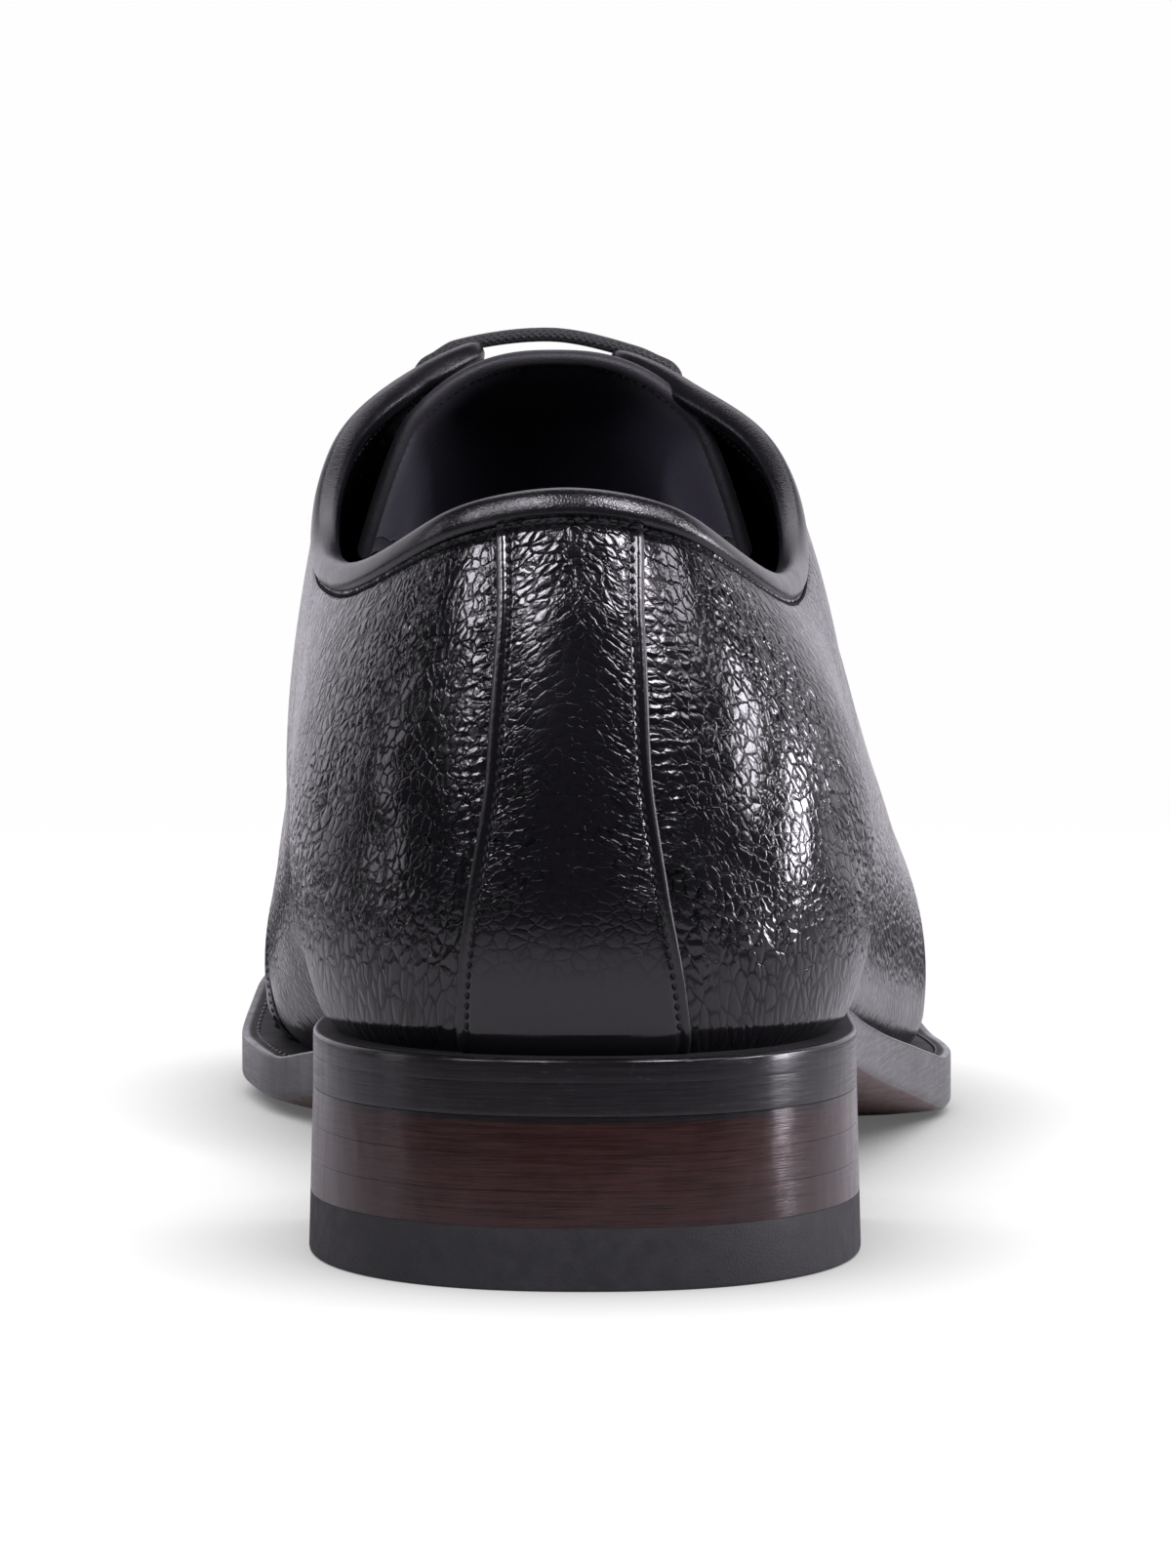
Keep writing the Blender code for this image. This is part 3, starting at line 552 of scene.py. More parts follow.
# Smooth leathers share the fine skin
def skinLeather(name, look, **fixed):
    leather, tree, skinIn = newMaterial(name, **fixed)
    made = useGroup(tree, fineSkin, Vector=objectSpace(tree))
    tone = blendColour(tree, made["Tone"], look["deep"], look["colour"])
    if "lining" in look:  # inside the marked band
        tone = blendColour(tree, markValue(tree, "band"), look["lining"], tone)
    feed(tree, tone, skinIn["Base Color"])
    feed(tree, ramp(tree, made["Tone"], *toneSpan, *look["rough"]), skinIn["Roughness"])
    addBump(tree, made["Height"], skinIn["Normal"], look["depth"])
    return leather


smoothLook = {"colour": (0.0048, 0.0045, 0.0056), "deep": (0.003, 0.0028, 0.0035),
              "rough": (0.2, 0.28), "depth": 0.03}
smoothLeather = skinLeather("smoothLeather", smoothLook, IOR=1.5)
liningLook = {"colour": (0.055, 0.051, 0.085), "deep": (0.042, 0.039, 0.064),
              "rough": (0.52, 0.66), "depth": 0.04}
liningLeather = skinLeather("liningLeather", liningLook, IOR=1.45, Sheen_Weight=0.06, Sheen_Roughness=0.4)
tongueLook = {"colour": (0.013, 0.013, 0.016), "deep": (0.009, 0.009, 0.0115),
              "lining": (0.036, 0.033, 0.055), "rough": (0.46, 0.6), "depth": 0.05}
tongueLeather = skinLeather("tongueLeather", tongueLook, IOR=1.48, Sheen_Weight=0.08, Sheen_Roughness=0.45)
sockLook = {"colour": (0.0115, 0.0115, 0.0145), "deep": (0.007, 0.007, 0.009),
            "rough": (0.5, 0.64), "depth": 0.08}
sockLeather = skinLeather("sockLeather", sockLook, IOR=1.45, Sheen_Weight=0.08, Sheen_Roughness=0.4)

# Threads: black outside, a little paler round the tongue
threadLook = {"twist": 7.0, "rough": (0.65, 0.8), "depth": 0.03}


def sewingThread(name, deep, colour):
    thread, tree, skinIn = newMaterial(name, IOR=1.5, Specular_IOR_Level=0.2)
    ply = noise(tree, objectSpace(tree), threadLook["twist"])
    feed(tree, blendColour(tree, ply, deep, colour), skinIn["Base Color"])
    feed(tree, ramp(tree, ply, *toneSpan, *threadLook["rough"]), skinIn["Roughness"])
    addBump(tree, ply, skinIn["Normal"], threadLook["depth"])
    return thread


seamThread = sewingThread("seamThread", (0.002, 0.002, 0.0025), (0.0035, 0.0033, 0.004))
tongueThread = sewingThread("tongueThread", (0.03, 0.029, 0.036), (0.065, 0.063, 0.078))

# Braided lace: two crossed sets of strands on the cord's own map
# the deep colour is painted shade in the grooves between the strands
laceLook = {"colour": (0.0105, 0.0105, 0.0125), "deep": (0.0045, 0.0045, 0.0055), "round": 6.0,
            "weave": (-0.4, 1.0), "rough": (0.62, 0.48), "depth": 0.10}
laceCord, tree, skinIn = newMaterial("laceCord", IOR=1.48, Sheen_Weight=0.1, Sheen_Roughness=0.5)
strands = []
for lean in (1, -1):
    turn = plus(tree, markValue(tree, "around"), times(tree, markValue(tree, "travel"), lean))
    strands.append(calc(tree, "SINE", times(tree, turn, laceLook["round"] * 2 * math.pi)))
weave = ramp(tree, calc(tree, "MAXIMUM", *strands), *laceLook["weave"])
# the colour darkens into the grooves between the strands: painted shade
feed(tree, blendColour(tree, weave, laceLook["deep"], laceLook["colour"]), skinIn["Base Color"])
feed(tree, ramp(tree, weave, 0, 1, *laceLook["rough"]), skinIn["Roughness"])
addBump(tree, weave, skinIn["Normal"], laceLook["depth"])

# Black dressing on the edges of sole and welt
edgeLook = {"colour": (0.0042, 0.0039, 0.0045), "worn": (0.03, 0.028, 0.03), "rough": (0.18, 0.27),
            "rubbed": 0.2, "dusty": 0.42, "depth": 0.012, "wave": 0.16}
edgeDressing, tree, skinIn = newMaterial("edgeDressing", IOR=1.5, Specular_IOR_Level=0.38)
made = useGroup(tree, edgeStreaks, Vector=objectSpace(tree))
rubbed = times(tree, made["Scuff"], markValue(tree, "rim"))
feed(tree, blendColour(tree, rubbed, edgeLook["colour"], edgeLook["worn"]), skinIn["Base Color"])
dusty = times(tree, markValue(tree, "flat"), edgeLook["dusty"])
worn = plus(tree, times(tree, rubbed, edgeLook["rubbed"]), dusty)
feed(tree, plus(tree, ramp(tree, made["Streak"], *toneSpan, *edgeLook["rough"]), worn), skinIn["Roughness"])
under = addBump(tree, made["Wave"], None, edgeLook["wave"])
addBump(tree, made["Height"], skinIn["Normal"], edgeLook["depth"], under)

# Stacked leather: brown streaks, black where the edge dressing runs over
liftLook = {
    "dark": (0.0045, 0.0022, 0.0021), "red": (0.021, 0.0074, 0.0066), "rough": (0.14, 0.21),
    "streak": (0.36, 0.62, 0.4), "hair": (0.38, 0.6, 0.3), "patch": (0.36, 0.64, 0.3),  # span, share of red
    "patchNoise": ((0.05, 0.05, 0.16), 3, 0.55), "dressed": (19.1, 19.6), "ragged": 0.8,
    "depth": 0.010, "wave": 0.2,
}
liftLeather, tree, skinIn = newMaterial(
    "liftLeather", IOR=1.5, Specular_IOR_Level=0.41, Specular_Tint=(1.0, 0.9, 0.9, 1.0)
)
place = objectSpace(tree)
made = useGroup(tree, edgeStreaks, Vector=place)
patch = drawnNoise(tree, place, *liftLook["patchNoise"])
reds = []
for part, value in (("streak", made["Streak"]), ("hair", made["Hair"]), ("patch", patch)):
    low, high, amount = liftLook[part]
    reds.append(times(tree, ramp(tree, value, low, high), amount))
warm = plus(tree, plus(tree, reds[0], reds[1]), reds[2])
level = put(tree, "ShaderNodeSeparateXYZ")
feed(tree, place, level.inputs[0])
ragged = plus(tree, level.outputs["Z"], times(tree, patch, liftLook["ragged"]))
dressed = ramp(tree, ragged, *liftLook["dressed"])
brown = blendColour(tree, warm, liftLook["dark"], liftLook["red"])
feed(tree, blendColour(tree, dressed, brown, edgeLook["colour"]), skinIn["Base Color"])
feed(tree, ramp(tree, made["Streak"], *toneSpan, *liftLook["rough"]), skinIn["Roughness"])
under = addBump(tree, made["Wave"], None, liftLook["wave"])
addBump(tree, made["Height"], skinIn["Normal"], liftLook["depth"], under)

# Matte rubber, a little dusty
rubberLook = {"colour": (0.0085, 0.0084, 0.0093), "dusty": (0.013, 0.0128, 0.014), "dust": (0.35, 5, 0.65),
              "dustSpan": (0.35, 0.7), "rough": (0.5, 0.66), "pores": (3.5, 4, 0.6), "depth": 0.05}
heelRubber, tree, skinIn = newMaterial("heelRubber", IOR=1.48, Specular_IOR_Level=0.25)
place = objectSpace(tree)
dust = noise(tree, place, *rubberLook["dust"])
dustShare = ramp(tree, dust, *rubberLook["dustSpan"])
feed(tree, blendColour(tree, dustShare, rubberLook["colour"], rubberLook["dusty"]), skinIn["Base Color"])
feed(tree, ramp(tree, dust, *toneSpan, *rubberLook["rough"]), skinIn["Roughness"])
addBump(tree, noise(tree, place, *rubberLook["pores"]), skinIn["Normal"], rubberLook["depth"])

# Brown tread leather: fibres along the shoe and broad clouds
soleLook = {"tan": (0.105, 0.046, 0.031), "dark": (0.052, 0.022, 0.016), "fibre": ((0.5, 0.12, 0.5), 5, 0.65),
            "cloud": (0.03, 3), "fibreShare": 0.4, "cloudShare": 0.6, "rough": (0.4, 0.56), "depth": 0.05}
soleLeather, tree, skinIn = newMaterial("soleLeather", IOR=1.48, Coat_Weight=0.12, Coat_Roughness=0.25)
place = objectSpace(tree)
fibre = drawnNoise(tree, place, *soleLook["fibre"])
cloud = noise(tree, place, *soleLook["cloud"])
tan = plus(tree, times(tree, ramp(tree, fibre, *toneSpan), soleLook["fibreShare"]),
           times(tree, ramp(tree, cloud, *toneSpan), soleLook["cloudShare"]))
feed(tree, blendColour(tree, tan, soleLook["dark"], soleLook["tan"]), skinIn["Base Color"])
feed(tree, ramp(tree, fibre, *toneSpan, *soleLook["rough"]), skinIn["Roughness"])
addBump(tree, fibre, skinIn["Normal"], soleLook["depth"])
print("finishes ready:", len(bpy.data.materials))

# The upper's own field of points, shared by quarters, vamp and strip
upperSet = {
    "ribSteps": 12, "low": 16, "wall": 34, "edge": 14, "edgeShare": 0.9,
    "turnIn": (0.9, 2.6), "turnMore": (70, 110), "tuck": 0.6, "sunk": 0.15,
    "stretch": (0.0, 19.0, 0.28), "layers": 60.0, "archSoft": 4.0, "archFrom": (12, 34),
    "riseSteps": (-5, 120, 600), "roundSteps": (0, 400, 2001),  # from, to, count
}
looseSet = {  # how much the grain stands up: at the heights of drawnRise it lies flat as far as drawnRound
    "drawnRise": (20, 24, 31, 44, 55), "drawnRound": (34, 31, 24, 16, 13), "over": (4.0, 13.0),
    "low": (10.0, 24.0), "lowShare": 0.75, "least": 0.25, "most": 1.85, "front": (55, 100), "frontLoss": 0.95,
}
gatherSet = {"begin": (14, 24), "end": (38, 58)}


def stretched(rise):  # wrinkles run long where the leather is pulled over the sole's edge
    low, high, slope = upperSet["stretch"]
    heights = np.linspace(*upperSet["riseSteps"])
    speed = slope + (1 - slope) * smoothStep(low, high, heights)
    run = np.concatenate(([0], np.cumsum((speed[1:] + speed[:-1]) / 2 * np.diff(heights))))
    return np.interp(rise, heights, run)


def grainMarks(around, rise, layer, sheet):  # the grain's own sheet, laid on the leather
    around, rise, layer = np.broadcast_arrays(around, rise, layer)
    turns = np.linspace(*upperSet["roundSteps"])
    speed = np.interp(turns, *sheet["across"])  # cells are drawn out sideways where this is low
    run = np.concatenate(([0], np.cumsum((speed[1:] + speed[:-1]) / 2 * np.diff(turns))))
    sideways = np.sign(around) * np.interp(np.abs(around), turns, run) + sheet["lean"] * rise
    arched = np.sqrt(around**2 + upperSet["archSoft"]) * smoothStep(*upperSet["archFrom"], rise)
    upward = stretched(rise) * sheet["tall"] + sheet["arch"] * arched
    depth, low, high = sheet["fade"]
    return {"grainSpace": np.stack((sideways, upward, layer * upperSet["layers"]), -1),
            "smooth": depth * (1 - smoothStep(low, high, rise))}


def looseMark(around, rise):  # flat where the leather is drawn round the heel, fuller to the sides
    drawn = np.interp(rise, looseSet["drawnRise"], looseSet["drawnRound"])
    low = looseSet["lowShare"] * (1 - smoothStep(*looseSet["low"], rise))
    loose = np.maximum(smoothStep(*looseSet["over"], np.abs(around) - drawn), low)
    most = looseSet["most"] - looseSet["frontLoss"] * smoothStep(*looseSet["front"], np.abs(around))
    return looseSet["least"] + loose * most


def gatherMark(fromSeam, rise, reach, topShare):  # strongest beside the seam, at middle height
    upward = 1 - (1 - topShare) * smoothStep(*gatherSet["end"], rise)
    return np.exp(-((fromSeam / reach) ** 2)) * smoothStep(*gatherSet["begin"], rise) * upward


def tuckUnder(field, sideways):  # the lower edge turned in, and a first row drawn in to meet the welt
    deep, tall = upperSet["turnIn"]
    forward = 1 + smoothStep(*upperSet["turnMore"], field[..., 1])
    turned = deep * forward * np.clip(1 - runOf(field, 0) / (tall * forward), 0, 1) ** 2
    field = field.copy()
    field[..., :2] -= sideways * turned[..., None]
    first = field[:1].copy()
    first[..., :2] -= sideways * upperSet["tuck"]
    first[..., 2] = weltTop(np.clip(first[..., 1], 0, shoe["length"])) - upperSet["sunk"]
    return np.concatenate((first, field), 0)


ringRibs = np.linspace(0, toeRib, toeRib * upperSet["ribSteps"] + 1)
ringR = np.concatenate((ringRibs, ringRibs[-2::-1]))
ringSide = np.concatenate((np.ones(len(ringRibs)), -np.ones(len(ringRibs) - 1)))
share = np.concatenate((
    np.linspace(0, shoe["wallShare"], upperSet["low"] + 1),
    np.linspace(shoe["wallShare"], upperSet["edgeShare"], upperSet["wall"] + 1)[1:],
    np.linspace(upperSet["edgeShare"], 1.0, upperSet["edge"] + 1)[1:],
))

# Quarters: hollow wall with a sewn groove under the collar and down the facings
quarterSet = {
    "groove": 0.42, "grooveWidth": 0.42, "collarIn": 0.5, "facingIn": 2.3, "facingFrom": (7.2, 8.2),
    "liningRow": 3.6, "liningEnd": 7.6, "sewnEnd": (throatRib, throatRib + 0.6),
    "grain": {"across": ((0, 9, 16, 28, 40), (0.5, 0.52, 0.82, 0.74, 0.46)), "tall": 0.6, "lean": 0.2,
              "arch": 0.0, "fade": (0.48, 4.0, 18.0)},
    "gatherInner": 2.5, "gatherOuter": 1.5, "gatherFrom": 9.0, "gatherReach": 5.5, "gatherTop": 0.25,
}
creaseTable = np.array([  # soft creases: side, start and end (round from the back, up), width, depth
    (-1, 13, 41, 21, 33, 1.3, 0.16), (-1, 15, 45, 24, 36, 1.2, 0.13), (-1, 12.5, 36.5, 20, 29, 1.2, 0.14),
    (-1, 18, 48, 27, 39, 1.5, 0.12), (-1, 23, 17.5, 37, 18.5, 1.5, 0.22), (-1, 26, 23, 36, 27, 4.5, 0.55),
    (1, 13, 25, 20, 19, 1.3, 0.14), (1, 15, 21, 23, 14, 1.2, 0.14), (1, 30, 44, 38, 30, 2.2, 0.18),
    (1, 36, 24, 46, 20, 4.0, 0.5), (1, 24, 52, 30, 42, 1.6, 0.12),
])


def seamInset(r):  # how far the seam lies below the top edge
    collarIn, facingIn = quarterSet["collarIn"], quarterSet["facingIn"]
    return collarIn + (facingIn - collarIn) * smoothStep(*quarterSet["facingFrom"], r)


def aroundHeel(field):  # distance round from the back, along the middle row
    middleRow = runOf(field[len(share) // 2], 0)
    return np.minimum(middleRow, middleRow[-1] - middleRow)[None, :]


def handCreases(side, field):
    around, rise = aroundHeel(field), runOf(field, 0)
    depth = np.zeros(field.shape[:2])
    for way, fromA, fromB, toA, toB, width, deep in creaseTable:
        ahead = np.array((toA - fromA, toB - fromB))
        along = ((around - fromA) * ahead[0] + (rise - fromB) * ahead[1]) / (ahead @ ahead)
        held = np.clip(along, 0, 1)
        gap = np.hypot(around - fromA - ahead[0] * held, rise - fromB - ahead[1] * held)
        depth = depth + np.where(side == way, deep * np.exp(-((gap / width) ** 2)), 0)
    return depth


field = ribPoint(ringR[None, :], ringSide[None, :], share[:, None])
outward = fieldNormals(field, True)
below = runOf(field[::-1], 0)[::-1]
sewn = 1 - smoothStep(*quarterSet["sewnEnd"], ringR)[None, :]
dip = np.exp(-(((below - seamInset(ringR)[None, :]) / quarterSet["grooveWidth"]) ** 2)) * sewn
field = field - outward * (quarterSet["groove"] * dip)[..., None]
field = field - outward * handCreases(ringSide[None, :], field)[..., None]
quarterField, quarterOut, quarterBelow = field, outward, below
field = tuckUnder(field, footOutward(ringR, ringSide)[None])
around, rise = aroundHeel(field), runOf(field, 0)
marks = grainMarks(around, rise, ringSide[None, :], quarterSet["grain"])
gather = np.where(ringSide > 0, quarterSet["gatherOuter"], quarterSet["gatherInner"])
fromSeam = np.maximum(around - quarterSet["gatherFrom"], 0)
marks["gather"] = gather * gatherMark(fromSeam, rise, quarterSet["gatherReach"], quarterSet["gatherTop"])
marks["relief"] = looseMark(around, rise)
quarters = addSheet("quarters", field, marks)
applyModifier(quarters, "SOLIDIFY", thickness=shoe["wall"] * mm, offset=-1, material_offset=1,
              material_offset_rim=1)
print("quarters:", len(quarters.data.polygons), "faces")

# Eyelets: punched through both facings, in five pairs
eyeletSet = {"pairs": 5, "radius": 2.0, "sides": 28, "punch": 9.0, "setback": 6.6,
             "first": facingRib + 0.18, "last": throatRib - 0.25,
             "search": (1, 0.5, 241), "ribNear": 0.02, "shareNear": 0.01}


def eyeletAt(r, side):
    t = np.linspace(*eyeletSet["search"])
    line = ribPoint(r, side, t)
    i = int(np.searchsorted(runOf(line, 0), eyeletSet["setback"]))
    near = np.array([-1, 0, 1])
    ribs, shares = r + near * eyeletSet["ribNear"], t[i] + near * eyeletSet["shareNear"]
    patch = ribPoint(ribs[None, :], side, shares[:, None])
    return patch[1, 1], fieldNormals(patch)[1, 1] * side


eyeletRibs = np.linspace(eyeletSet["first"], eyeletSet["last"], eyeletSet["pairs"])
eyelets = [[eyeletAt(r, side) for side in (-1, 1)] for r in eyeletRibs]
punches = []
for middle, out in (spot for pair in eyelets for spot in pair):
    deselect()
    bpy.ops.mesh.primitive_cylinder_add(
        vertices=eyeletSet["sides"], radius=eyeletSet["radius"] * mm, depth=eyeletSet["punch"] * mm,
        location=toWorld(middle),
        rotation=Vector(out).to_track_quat("Z", "Y").to_euler(),
    )
    punches.append(bpy.context.active_object)
deselect()
for punch in punches:
    punch.select_set(True)
bpy.ops.object.join()
punch = bpy.context.active_object
applyModifier(quarters, "BOOLEAN", object=punch, operation="DIFFERENCE", solver="EXACT")
bpy.data.objects.remove(punch)
finishPiece(quarters, (grainLeather, liningLeather), ["upper"], angle=50)
print("eyelets punched:", len(quarters.data.polygons), "faces")

# Vamp: laid over the quarters, with a folded edge and two rows of stitches
vampSet = {
    "lift": 0.95, "edge": 0.4, "slope": 7.0, "thick": 0.3, "rows": (1.7, 3.6), "perRib": 20.0,
    "fold": 0.6, "groove": 0.3, "frontFrom": 0.36, "frontColumns": 58,
    "grainSize": 0.55, "smooth": 0.3, "relief": 0.85, "thread": 0.17, "threadSink": 0.2,
}
edgeSteps = np.array([  # finer columns near the vamp's edge and its rows of stitches
    0, 0.12, 0.28, 0.5, 0.75, 1.0, 1.25, 1.5, 1.7, 1.9, 2.2, 2.6, 3.0, 3.3, 3.6, 3.9, 4.3, 5, 6,
])
grooveWidth = 0.38


def rounded(distance, radius):  # 0 to 1 over a quarter turn
    return np.sqrt(np.clip(1 - (1 - np.clip(distance / radius, 0, 1)) ** 2, 0, 1))


def foldedLift(distance, rows, full, fold, groove):  # a rolled edge, a groove at each row of stitches
    start = full * rounded(distance, fold)
    for row in rows:
        start = start - groove * full * np.exp(-(((distance - row) / grooveWidth) ** 2))
    return start


frontColumns = np.linspace(vampRib + vampSet["frontFrom"], toeRib, vampSet["frontColumns"])
vampHalf = np.concatenate((vampRib + edgeSteps / vampSet["perRib"], frontColumns))
vampR = np.concatenate((vampHalf, vampHalf[-2::-1]))
vampSide = np.concatenate((np.ones(len(vampHalf)), -np.ones(len(vampHalf) - 1)))
field = ribPoint(vampR[None, :], vampSide[None, :], share[:, None])
outward = fieldNormals(field)
travelled = runOf(field, 1)
fromEdge = np.minimum(travelled, travelled[:, -1:] - travelled)
vampFull = vampSet["edge"] + (vampSet["lift"] - vampSet["edge"]) * smoothStep(0, vampSet["slope"], fromEdge)
vampLift = foldedLift(fromEdge, vampSet["rows"], vampFull, vampSet["fold"], vampSet["groove"])
field = field + outward * vampLift[..., None]
vampField, vampOut = field, outward
field = tuckUnder(field, footOutward(vampR, vampSide)[None])
marks = {"grainSpace": field * vampSet["grainSize"], "smooth": np.full((1, 1), vampSet["smooth"]),
         "gather": np.zeros((1, 1)), "relief": np.full((1, 1), vampSet["relief"])}
vamp = addSheet("vamp_cover", field, marks)
applyModifier(vamp, "SOLIDIFY", thickness=vampSet["thick"] * mm, offset=-1)
finishPiece(vamp, (grainLeather,), ["vamp"], angle=50)
print("vamp:", len(vamp.data.polygons), "faces")

# Back strip: folded edges, a stitch groove inside each fold
stripSet = {
    "lift": 0.9, "thick": 0.85, "row": 1.45, "fold": 0.45, "groove": 0.32,
    "middleIn": 3.0, "middleColumns": 34, "search": 161,
    "grain": {"across": ((0, 1), (0.6, 0.6)), "tall": 0.8, "lean": 0.0,
              "arch": 0.4, "fade": (0.95, 8.0, 22.0)},
    "gather": 0.75, "gatherFrom": 1.8, "gatherReach": 2.6, "gatherTop": 0.4,
    "calm": 0.65, "calmHalf": 4.2, "calmTop": (44, 56), "edgeCalm": 0.85, "edgeReach": (1.2, 2.0),
    "relief": 0.25, "reliefMore": 0.3, "reliefTop": (44, 58), "rolled": (0.35, 0.9), "endsAt": (0.66, 0.72),
}
stripTable = np.array([  # share of the height, middle and half width in ribs
    (0.0, -0.10, 1.04), (0.12, -0.12, 0.93), (0.3, -0.14, 0.77),
    (0.55, -0.12, 0.64), (0.8, -0.06, 0.63), (1.0, 0.0, 0.70),
])
stripMiddle, stripHalf = (through(stripTable[:, 0], stripTable[:, k]) for k in (1, 2))
stripEdge = np.array([0, 0.1, 0.22, 0.36, 0.52, 0.7, 0.88, 1.05, 1.2, 1.32, 1.45, 1.58, 1.72, 1.9, 2.2, 2.6])
lines = []
for t in share:
    spread = stripMiddle(t) + stripHalf(t) * np.linspace(-1, 1, stripSet["search"])
    run = runOf(ribPoint(np.abs(spread), np.where(spread > 0, 1, -1), t), 0)
    between = np.linspace(stripSet["middleIn"], run[-1] - stripSet["middleIn"], stripSet["middleColumns"])
    stops = np.concatenate((stripEdge, between, run[-1] - stripEdge[::-1]))
    lines.append(np.interp(stops, run, spread))
stripR = np.array(lines)
field = ribPoint(np.abs(stripR), np.where(stripR > 0, 1, -1), share[:, None])
outward = fieldNormals(field)
travelled = runOf(field, 1)
fromEdge = np.minimum(travelled, travelled[:, -1:] - travelled)
lift = foldedLift(fromEdge, (stripSet["row"],), stripSet["lift"], stripSet["fold"], stripSet["groove"])
field = field + outward * lift[..., None]
below = runOf(field[::-1], 0)[::-1]
dip = np.exp(-(((below - quarterSet["collarIn"]) / quarterSet["grooveWidth"]) ** 2))
field = field - outward * (quarterSet["groove"] * dip)[..., None]
stripField, stripOut = field, outward
field = tuckUnder(field, outward[:1, :, :2])
around = travelled - travelled[:, -1:] / 2
around = np.concatenate((around[:1], around), 0)
fromEdge = np.concatenate((fromEdge[:1], fromEdge), 0)
rise = runOf(field, 0)
marks = grainMarks(around, rise, 0.0, stripSet["grain"])
fromSeam = np.maximum(fromEdge - stripSet["gatherFrom"], 0)
marks["gather"] = stripSet["gather"] * gatherMark(
    fromSeam, rise, stripSet["gatherReach"], stripSet["gatherTop"])
calm = np.exp(-((around / stripSet["calmHalf"]) ** 2)) * (1 - smoothStep(*stripSet["calmTop"], rise))
edgeCalm = stripSet["edgeCalm"] * (1 - smoothStep(*stripSet["edgeReach"], fromEdge))
marks["smooth"] = np.maximum(marks["smooth"], np.maximum(stripSet["calm"] * calm, edgeCalm))
marks["relief"] = stripSet["relief"] + stripSet["reliefMore"] * smoothStep(*stripSet["reliefTop"], rise)
marks["rolled"] = 1 - smoothStep(*stripSet["rolled"], fromEdge)
strip = addSheet("back_strip_cover", field, marks)
applyModifier(strip, "SOLIDIFY", thickness=stripSet["thick"] * mm, offset=-1)
finishPiece(strip, (grainLeather,), ["back_strip"], angle=50)
print("back strip:", len(strip.data.polygons), "faces")

# Collar binding: one roll round the collar that fines down along the facings
bindSet = {"bead": 0.55, "round": 28, "square": 2.7, "tall": 1.9, "drop": 0.4, "steps": 14, "below": 0.9125,
           "ribStep": 0.1, "thinFrom": cornerRib + 0.2, "thinTo": facingRib + 0.5,
           "ends": (0.0, 0.55, 0.85, 0.97)}


def bindFrame(r, side):
    edge = ribPoint(r, side, 1.0)
    onward = unit(edge - ribPoint(r, side, bindSet["below"]))
    run = ribPoint(r + bindSet["ribStep"], side, 1.0) - ribPoint(r - bindSet["ribStep"], side, 1.0)
    outward = unit(np.cross(run, onward) * np.asarray(side)[..., None])
    size = 1 - (1 - bindSet["bead"]) * smoothStep(bindSet["thinFrom"], bindSet["thinTo"], r)
    lift = (shoe["bindRadius"] * size + shoe["bindClear"])[..., None]
    middle = edge - outward * shoe["wall"] / 2 + onward * lift
    return middle, onward, outward, size


def squared(values):  # a circle's sine or cosine, drawn out towards a square
    return np.sign(values) * np.abs(values) ** (2 / bindSet["square"])


half = np.linspace(0, throatRib, throatRib * bindSet["steps"] + 1)
bindR = np.concatenate((half[::-1], half[1:]))
bindSide = np.concatenate((-np.ones(len(half)), np.ones(len(half) - 1)))
middle, onward, outward, size = bindFrame(bindR, bindSide)
closing = np.ones(len(bindR))
closing[:4] = closing[-4:][::-1] = bindSet["ends"]
angle = np.linspace(0, 2 * math.pi, bindSet["round"] + 1)
radius = (shoe["bindRadius"] * size * closing)[:, None, None]
taller = bindSet["tall"] / shoe["bindRadius"]
wide = squared(np.cos(angle))[None, :, None] * outward[:, None]
tall = squared(np.sin(angle))[None, :, None] * onward[:, None] * taller
field = (middle - onward * bindSet["drop"])[:, None] + radius * (wide + tall)
field[:, -1] = field[:, 0]
binding = addSheet("collar_roll", field, closed=True)
finishPiece(binding, (smoothLeather,), ["collar_binding"], angle=60)
print("binding:", len(binding.data.polygons), "faces")

# Tongue: a leaf with a folded rim, seen from inside above the collar
tongueSet = {
    "middle": -5.2, "shift": 1.2, "widen": 3.0, "curve": 2.6, "corner": 1.5, "cornerPower": 12,
    "wing": 8.0, "wingFrom": 0.75, "wingCurve": 1.4, "hang": (126, 165), "behindIn": 2,
    "thick": 1.6, "soft": 0.8, "rim": 0.45, "rimIn": 1.0, "rimWidth": 0.9,
    "row": 2.5, "rowDeep": 0.3, "rowWidth": 0.4, "rowEnd": 70, "bandSoft": 0.3, "columns": 91, "rows": 90,
}
tongueTable = np.array([  # along, crest, half width, drop at the edge
    (108.5, 109.2, 23.2, 19.4), (118, 106.2, 22.8, 15.5), (129, 99.2, 22.2, 11.0), (143, 88.3, 21.0, 7.6),
    (158, 75.8, 19.0, 5.6), (172, 64.4, 17.0, 4.4), (186, 56.4, 15.0, 3.6),
])
crest, tongueHalf, tongueDrop = (through(tongueTable[:, 0], tongueTable[:, k]) for k in (1, 2, 3))
across = np.sin(np.linspace(-1, 1, tongueSet["columns"]) * math.pi / 2)
onto = 1 - np.cos(np.linspace(0, 1, tongueSet["rows"]) * math.pi / 2)
freeEdge = tongueTable[0, 0] + tongueSet["corner"] * np.abs(across) ** tongueSet["cornerPower"]
along = freeEdge[None, :] + (tongueTable[-1, 0] - freeEdge[None, :]) * onto[:, None]
height = crest(along) - tongueDrop(along) * np.abs(across)[None, :] ** tongueSet["curve"]
behindFrom = tongueTable[0, 0] + tongueSet["behindIn"]
behind = 1 - smoothStep(behindFrom, tongueTable[2, 0], along)  # what stands behind the facings
hang = 1 - smoothStep(*tongueSet["hang"], along)
winged = np.clip((np.abs(across) - tongueSet["wingFrom"]) / (1 - tongueSet["wingFrom"]), 0, 1)
height = height - tongueSet["wing"] * hang * winged[None, :] ** tongueSet["wingCurve"]
